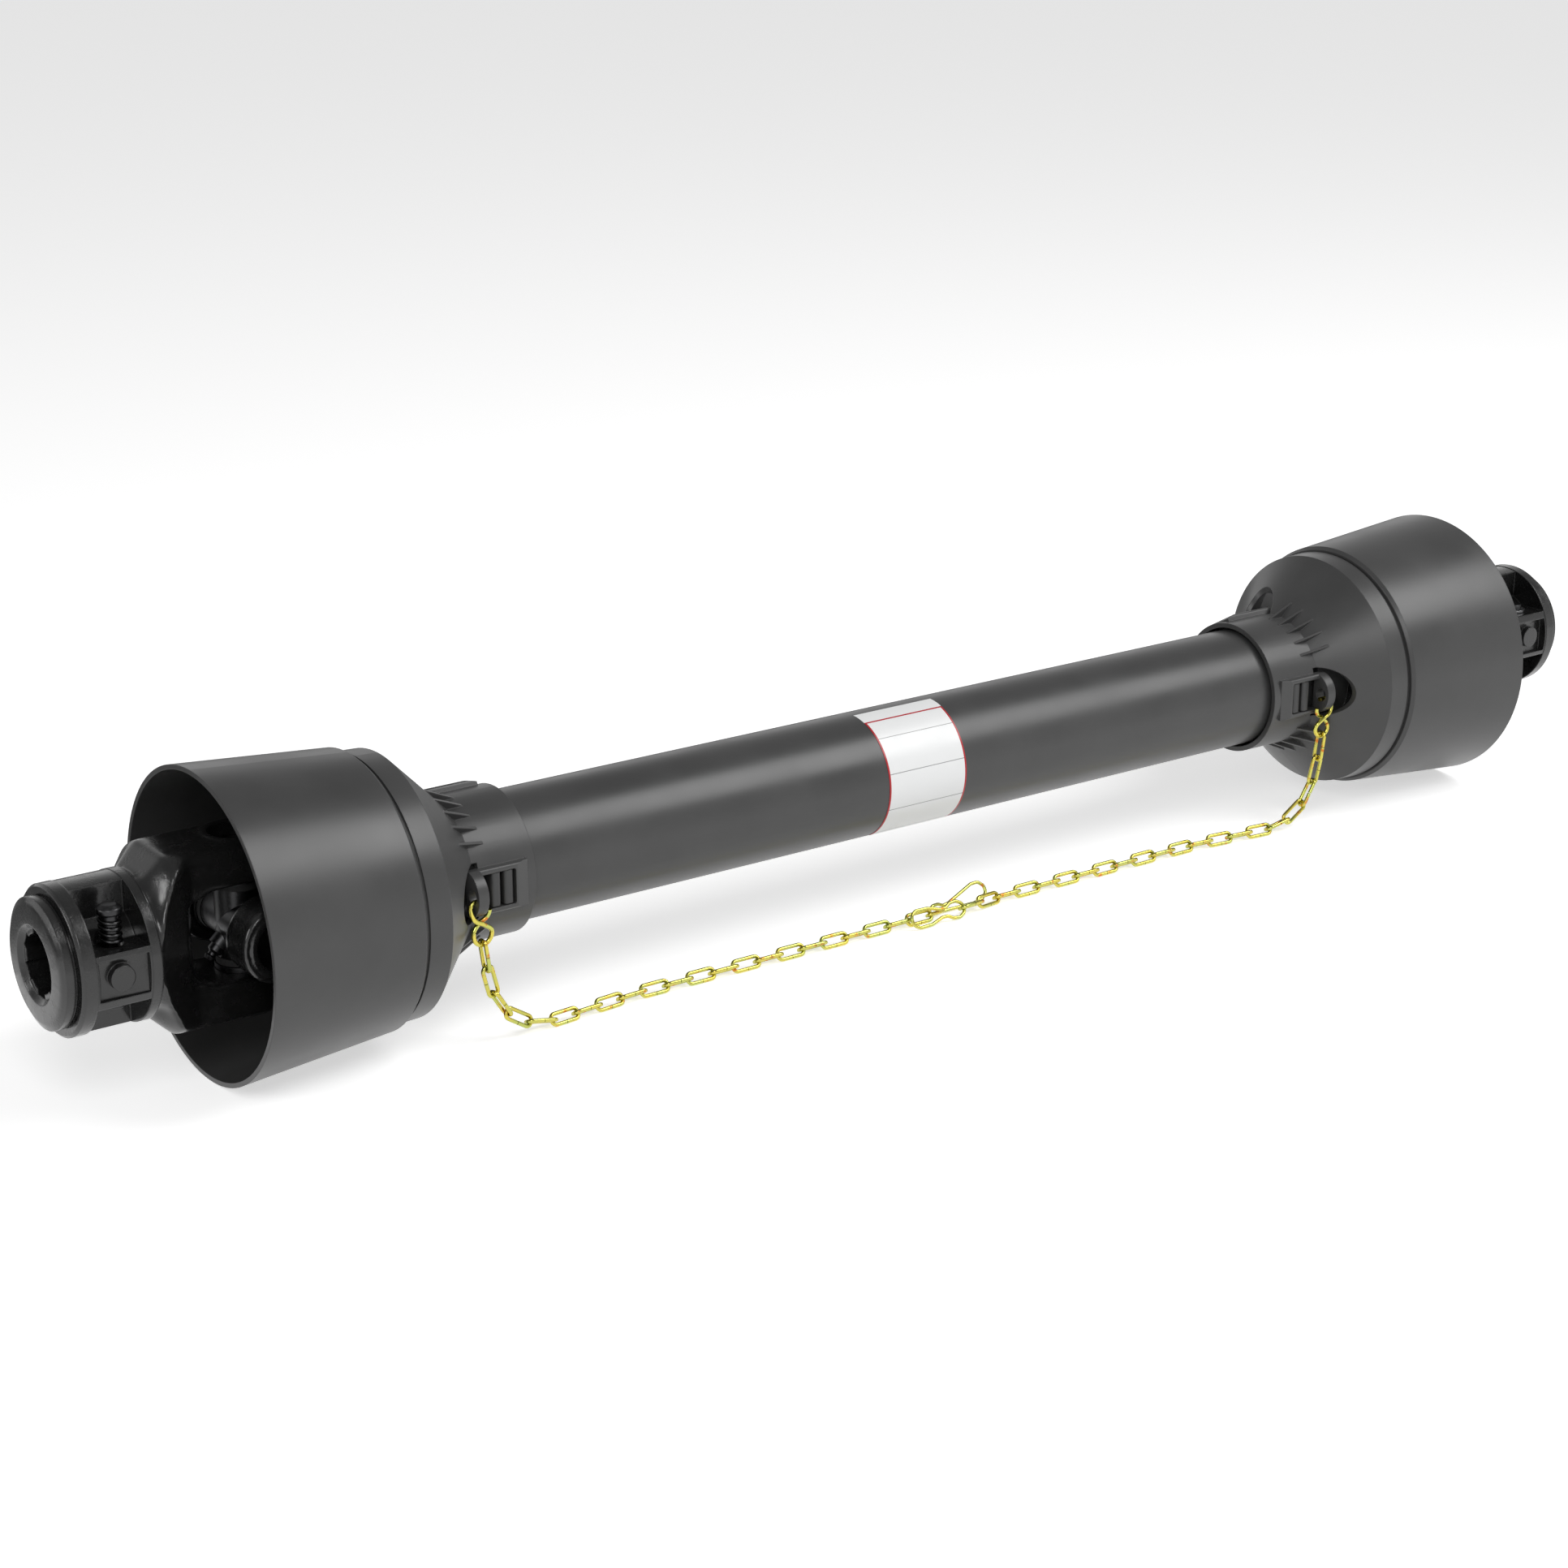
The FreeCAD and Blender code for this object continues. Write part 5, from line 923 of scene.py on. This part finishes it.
def lie_of(corners):
    """Middle and axes of a link: along it, across it, and through its opening."""
    middle = sum(corners, Vector()) / len(corners)
    spread = Matrix(((0, 0, 0), (0, 0, 0), (0, 0, 0)))
    for corner in corners:
        d = corner - middle
        for i in range(3):
            for j in range(3):
                spread[i][j] += d[i] * d[j] / MM / MM
    along = longest_way(spread, Vector((1, 0.31, 0.17)))
    length = along.dot(spread @ along)
    for i in range(3):
        for j in range(3):
            spread[i][j] -= length * along[i] * along[j]
    across = longest_way(spread, Vector((0.13, 1, 0.29)))
    if across.y + across.z < 0:
        across = -across
    turn = Matrix((along, across, along.cross(across))).transposed()
    return middle, turn.to_quaternion()


class SHAFT_OT_chains(bpy.types.Operator):
    """Threads both safety chains link by link"""
    bl_idname = "shaft.chains"
    bl_label = "Make Chains"

    def execute(self, context):
        look = context.scene.shaft_chain
        zinc = passivated_zinc("yellow passivated zinc", look.zinc, look.green, look.red,
                               look.roughness)
        link = grow(new_piece("one_link", line_mesh("one_link", link_line(look))),
                    bent_wire_tree(), {
                        "Wire Radius": look.wire, "Bend Radius": look.corner, "Bend Steps": 5,
                        "Sides": 12, "Material": zinc})
        tree = chain_tree()
        for node in both("chain"):
            lies = [lie_of(corners) for corners in islands(node)]
            points = bpy.data.meshes.new(node)
            points.from_pydata([middle for middle, _ in lies], [], [])
            turns = points.attributes.new("turn", "QUATERNION", "POINT")
            for number, (_, turn) in enumerate(lies):
                turns.data[number].value = turn
            piece = grow(new_piece("linked_" + node, points), tree,
                         {"Link": link, "Material": zinc})
            seat(piece, node)
        bpy.data.objects.remove(link)
        return {"FINISHED"}


# Routes of the bent hooks in millimetres, as the CAD has them: length along the
# chain, height, and depth where it isn't flat. Each is set where its CAD node stands.

EYE_HOOK = [
    (4.6, -2.3, 0.0), (-4.2, -2.3, 0.0), (-5.2, -5.3, -0.3), (-4.7, -11.7, -1.4),
    (1.2, -14.45, -1.4), (6.14, -17.85, -0.8), (7.3, -21.05, 0.0), (4.98, -25.05, 0.0),
    (1.5, -26.45, 0.0), (-1.98, -25.05, 0.0), (-4.3, -21.05, 0.0), (-2.85, -17.65, 0.8),
    (0.9, -14.25, 1.4), (6.2, -11.8, 0.8), (6.1, -7.9, 0.2),
]

FRONT_SNAP = [
    (-18.5, 0.0), (-17.4, 3.3), (-14.0, 5.0), (-6.0, 4.8), (2.0, 2.4), (6.0, 2.4),
    (9.5, 4.4), (14.0, 4.8), (17.2, 3.0), (18.5, 1.2), (18.5, -1.2), (17.2, -3.0),
    (14.0, -4.8), (9.5, -4.4), (6.0, -2.4), (2.0, -2.4), (-6.0, -4.8), (-14.0, -5.0),
    (-17.4, -3.3),
]

REAR_SNAP = [
    (9.0, 0.4, 1.6), (6.0, 0.0, 2.6), (1.6, 0.0, 2.6), (-0.55, 0.0, 1.8),
    (-1.05, 0.0, 0.9), (-1.05, 0.0, -0.9), (-0.55, 0.0, -1.8), (1.6, 0.0, -2.6),
    (7.0, 0.2, -3.4), (13.0, 0.7, -5.4), (36.0, 0.7, -5.4), (42.5, 1.6, -5.4),
    (46.5, 5.0, -5.4), (46.4, 9.0, -5.4), (43.0, 11.8, -5.4), (38.0, 11.6, -5.4),
    (19.0, 4.4, -5.4), (15.0, 3.8, -5.4), (11.5, 5.2, -5.0), (7.0, 5.0, -4.2),
    (4.5, 3.2, -3.8),
]

CHAIN_LEAN = math.radians(32)  # how far the lying chain leans back


def route_in(node, route):
    """Moves a route's points so that their box has its middle where the node's has."""
    points = [Vector(point) * MM for point in route]
    low = Vector([min(p[i] for p in points) for i in range(3)])
    high = Vector([max(p[i] for p in points) for i in range(3)])
    middle = sum(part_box(node), Vector()) / 2
    return [point - (low + high) / 2 + middle for point in points]


def leaning(length, height, front):
    """A point in the plane of the lying chain, which leans back."""
    upwards = Vector((0, math.sin(CHAIN_LEAN), math.cos(CHAIN_LEAN)))
    outwards = Vector((0, -math.cos(CHAIN_LEAN), math.sin(CHAIN_LEAN)))
    return Vector((length, 0, 0)) + upwards * height + outwards * front


class SHAFT_OT_hooks(bpy.types.Operator):
    """Bends the chain hooks and the snap hooks"""
    bl_idname = "shaft.hooks"
    bl_label = "Bend Hooks"

    def execute(self, context):
        look = context.scene.shaft_chain
        zinc = bpy.data.materials["yellow passivated zinc"]
        tree = bpy.data.node_groups["Bent Wire"]
        for end, sign in ENDS.items():
            node = "chain_hook_" + end
            route = route_in(node, [(-sign * x, y, z) for x, z, y in EYE_HOOK])
            piece = grow(new_piece("bent_" + node, line_mesh(node, route)), tree, {
                "Wire Radius": look.hook_wire, "Bend Radius": 6 * MM, "Bend Steps": 5,
                "Sides": 14, "Material": zinc})
            seat(piece, node)
        snaps = {"snap_hook_right": ([leaning(u, v, 0) for u, v in FRONT_SNAP], True),
                 "snap_hook_left": ([leaning(*point) for point in REAR_SNAP], False)}
        for node, (route, closed) in snaps.items():
            line = line_mesh(node, route_in(node, route), closed)
            seat(grow(new_piece("bent_" + node, line), tree, {
                "Wire Radius": look.snap_wire, "Bend Radius": 3 * MM, "Bend Steps": 4,
                "Sides": 12, "Material": zinc}), node)
        return {"FINISHED"}


# Stage

FLOOR_HALF = 14.0
DARK_REFLECTION_FROM, DARK_REFLECTION_TO = 0.15, 0.26  # behind the shaft, where the painted dark reflection begins and is full
DARK_REFLECTION_COVER = 0.85                 # how much of the paper the painted dark reflection hides in a gloss
PAPER_GLOW = 0.55                  # light that the paper gives off where it is seen
CAMERA_PLACE = (-1.06483, -1.37650, 0.57943)
CAMERA_WAY = (0.5530, 0.7687, -0.3214)  # direction in which the camera looks


def light(name, power, size, place, aim):
    lamp = bpy.data.lights.new(name, "AREA")
    lamp.energy = power
    lamp.shape = "DISK"
    lamp.size = size
    stand = new_piece(name, lamp)
    stand.location = place
    stand.rotation_euler = (Vector(aim) - Vector(place)).to_track_quat("-Z", "Y").to_euler()


def seen_directly(tree):
    """1 for what the camera sees, directly or in a mirror or glass."""
    path = add(tree, "ShaderNodeLightPath").outputs
    seen = add(tree, "ShaderNodeMath", {0: path["Is Camera Ray"], 1: path["Is Glossy Ray"]},
               operation="MAXIMUM")
    return add(tree, "ShaderNodeMath", {0: seen, 1: path["Is Transmission Ray"]},
               operation="MAXIMUM")


def studio_world(sky):
    """A studio with pale walls and a darker ceiling, and a white background."""
    world = bpy.data.worlds.new("studio")
    world.use_nodes = True
    tree = world.node_tree
    tree.nodes.clear()
    way = add(tree, "ShaderNodeTexCoord").outputs["Generated"]
    height = add(tree, "ShaderNodeSeparateXYZ", {0: way}).outputs["Z"]
    ceiling = add(tree, "ShaderNodeMapRange", {
        "Value": height, "From Min": 0.15, "From Max": 0.6, "To Min": 1.0, "To Max": 0.3})
    walls = add(tree, "ShaderNodeMapRange", {"Value": seen_directly(tree), "To Min": sky})
    strength = add(tree, "ShaderNodeMath", {0: walls, 1: ceiling}, operation="MULTIPLY")
    back = add(tree, "ShaderNodeBackground", {"Color": (1, 1, 1, 1), "Strength": strength})
    add(tree, "ShaderNodeOutputWorld", {"Surface": back})
    return world


def paper_floor(colour):
    """White background paper: matt, and lit from itself where it is seen directly or
    mirrored, so that it reads white and still keeps the shadow. A gloss shows it dark
    behind the shaft: a painted dark reflection, with no dark thing there."""
    material, tree, place = start_material("white background paper")
    material.cycles.emission_sampling = "NONE"
    depth = add(tree, "ShaderNodeSeparateXYZ", {0: place}).outputs["Y"]
    # Painted dark reflection: behind the shaft, glossy rays see the paper as a near-black sheet.
    behind = add(tree, "ShaderNodeMapRange", {
        "Value": depth, "From Min": DARK_REFLECTION_FROM, "From Max": DARK_REFLECTION_TO})
    glossy = add(tree, "ShaderNodeLightPath").outputs["Is Glossy Ray"]
    painted_dark_reflection = add(tree, "ShaderNodeMath", {0: behind, 1: glossy}, operation="MULTIPLY")
    cover = add(tree, "ShaderNodeMapRange", {"Value": painted_dark_reflection, "To Max": DARK_REFLECTION_COVER})
    glow = add(tree, "ShaderNodeMapRange", {"Value": seen_directly(tree), "To Max": PAPER_GLOW})
    paper = add(tree, "ShaderNodeBsdfPrincipled", {
        "Base Color": opaque(colour), "Roughness": 0.9, "Specular IOR Level": 0.0,
        "Emission Color": (1, 1, 1, 1), "Emission Strength": glow})
    # The near-black sheet of the painted dark reflection, seen only in a gloss.
    black = add(tree, "ShaderNodeBsdfDiffuse", {"Color": (0.03, 0.03, 0.03, 1)})
    sheet = add(tree, "ShaderNodeMixShader", {0: cover, 1: paper, 2: black})
    return close_material(material, tree, sheet)


class SHAFT_OT_stage(bpy.types.Operator):
    """Sets floor, lights, world and camera"""
    bl_idname = "shaft.stage"
    bl_label = "Set Stage"

    def execute(self, context):
        look = context.scene.shaft_stage
        sheet = bpy.data.meshes.new("floor")
        corners = [(-1, -1), (1, -1), (1, 1), (-1, 1)]
        sheet.from_pydata([(x * FLOOR_HALF, y * FLOOR_HALF, floor_level) for x, y in corners],
                          [], [(0, 1, 2, 3)])
        floor = new_piece("floor", sheet)
        sheet.materials.append(paper_floor(look.floor))
        light("key light", look.key, size=1.5, place=(1.2, -1.0, 1.75), aim=(0, 0, 0))
        light("fill light", look.fill, size=1.0, place=(-1.3, -1.5, 1.5), aim=(-0.3, 0, 0))
        light("rim light", look.rim, size=0.8, place=(-2.3, 0.5, 0.7), aim=(-0.3, 0, 0))
        context.scene.world = studio_world(look.sky)
        lens = bpy.data.cameras.new("camera")
        lens.sensor_width = 36
        lens.lens = look.focal
        camera = new_piece("camera", lens)
        camera.location = CAMERA_PLACE
        camera.rotation_euler = Vector(CAMERA_WAY).to_track_quat("-Z", "Y").to_euler()
        context.scene.camera = camera
        context.scene.view_settings.view_transform = "Standard"
        return {"FINISHED"}


class SHAFT_PT_panel(bpy.types.Panel):
    """Lists the steps that build the drive shaft"""
    bl_idname = "SHAFT_PT_panel"
    bl_label = "Drive Shaft"
    bl_space_type = "VIEW_3D"
    bl_region_type = "UI"
    bl_category = "Drive Shaft"

    def draw(self, context):
        for step in STEPS:
            self.layout.operator(step.bl_idname)


GROUPS = {
    "shaft_guard": GuardSettings,
    "shaft_yoke": YokeSettings,
    "shaft_steel": SteelSettings,
    "shaft_chain": ChainSettings,
    "shaft_spring": SpringSettings,
    "shaft_label": LabelSettings,
    "shaft_stage": StageSettings,
}
STEPS = (SHAFT_OT_guards, SHAFT_OT_label, SHAFT_OT_yokes, SHAFT_OT_joints, SHAFT_OT_springs,
         SHAFT_OT_chains, SHAFT_OT_hooks, SHAFT_OT_stage)


def register():
    for kind in (*GROUPS.values(), *STEPS, SHAFT_PT_panel):
        bpy.utils.register_class(kind)
    for name, group in GROUPS.items():
        setattr(bpy.types.Scene, name, bpy.props.PointerProperty(type=group))


def unregister():
    for name in GROUPS:
        delattr(bpy.types.Scene, name)
    for kind in (SHAFT_PT_panel, *reversed(STEPS), *reversed(GROUPS.values())):
        bpy.utils.unregister_class(kind)


def main():
    register()
    bpy.ops.shaft.guards()
    bpy.ops.shaft.label()
    bpy.ops.shaft.yokes()
    bpy.ops.shaft.joints()
    bpy.ops.shaft.springs()
    bpy.ops.shaft.chains()
    bpy.ops.shaft.hooks()
    bpy.ops.shaft.stage()


if __name__ == "__main__":
    main()
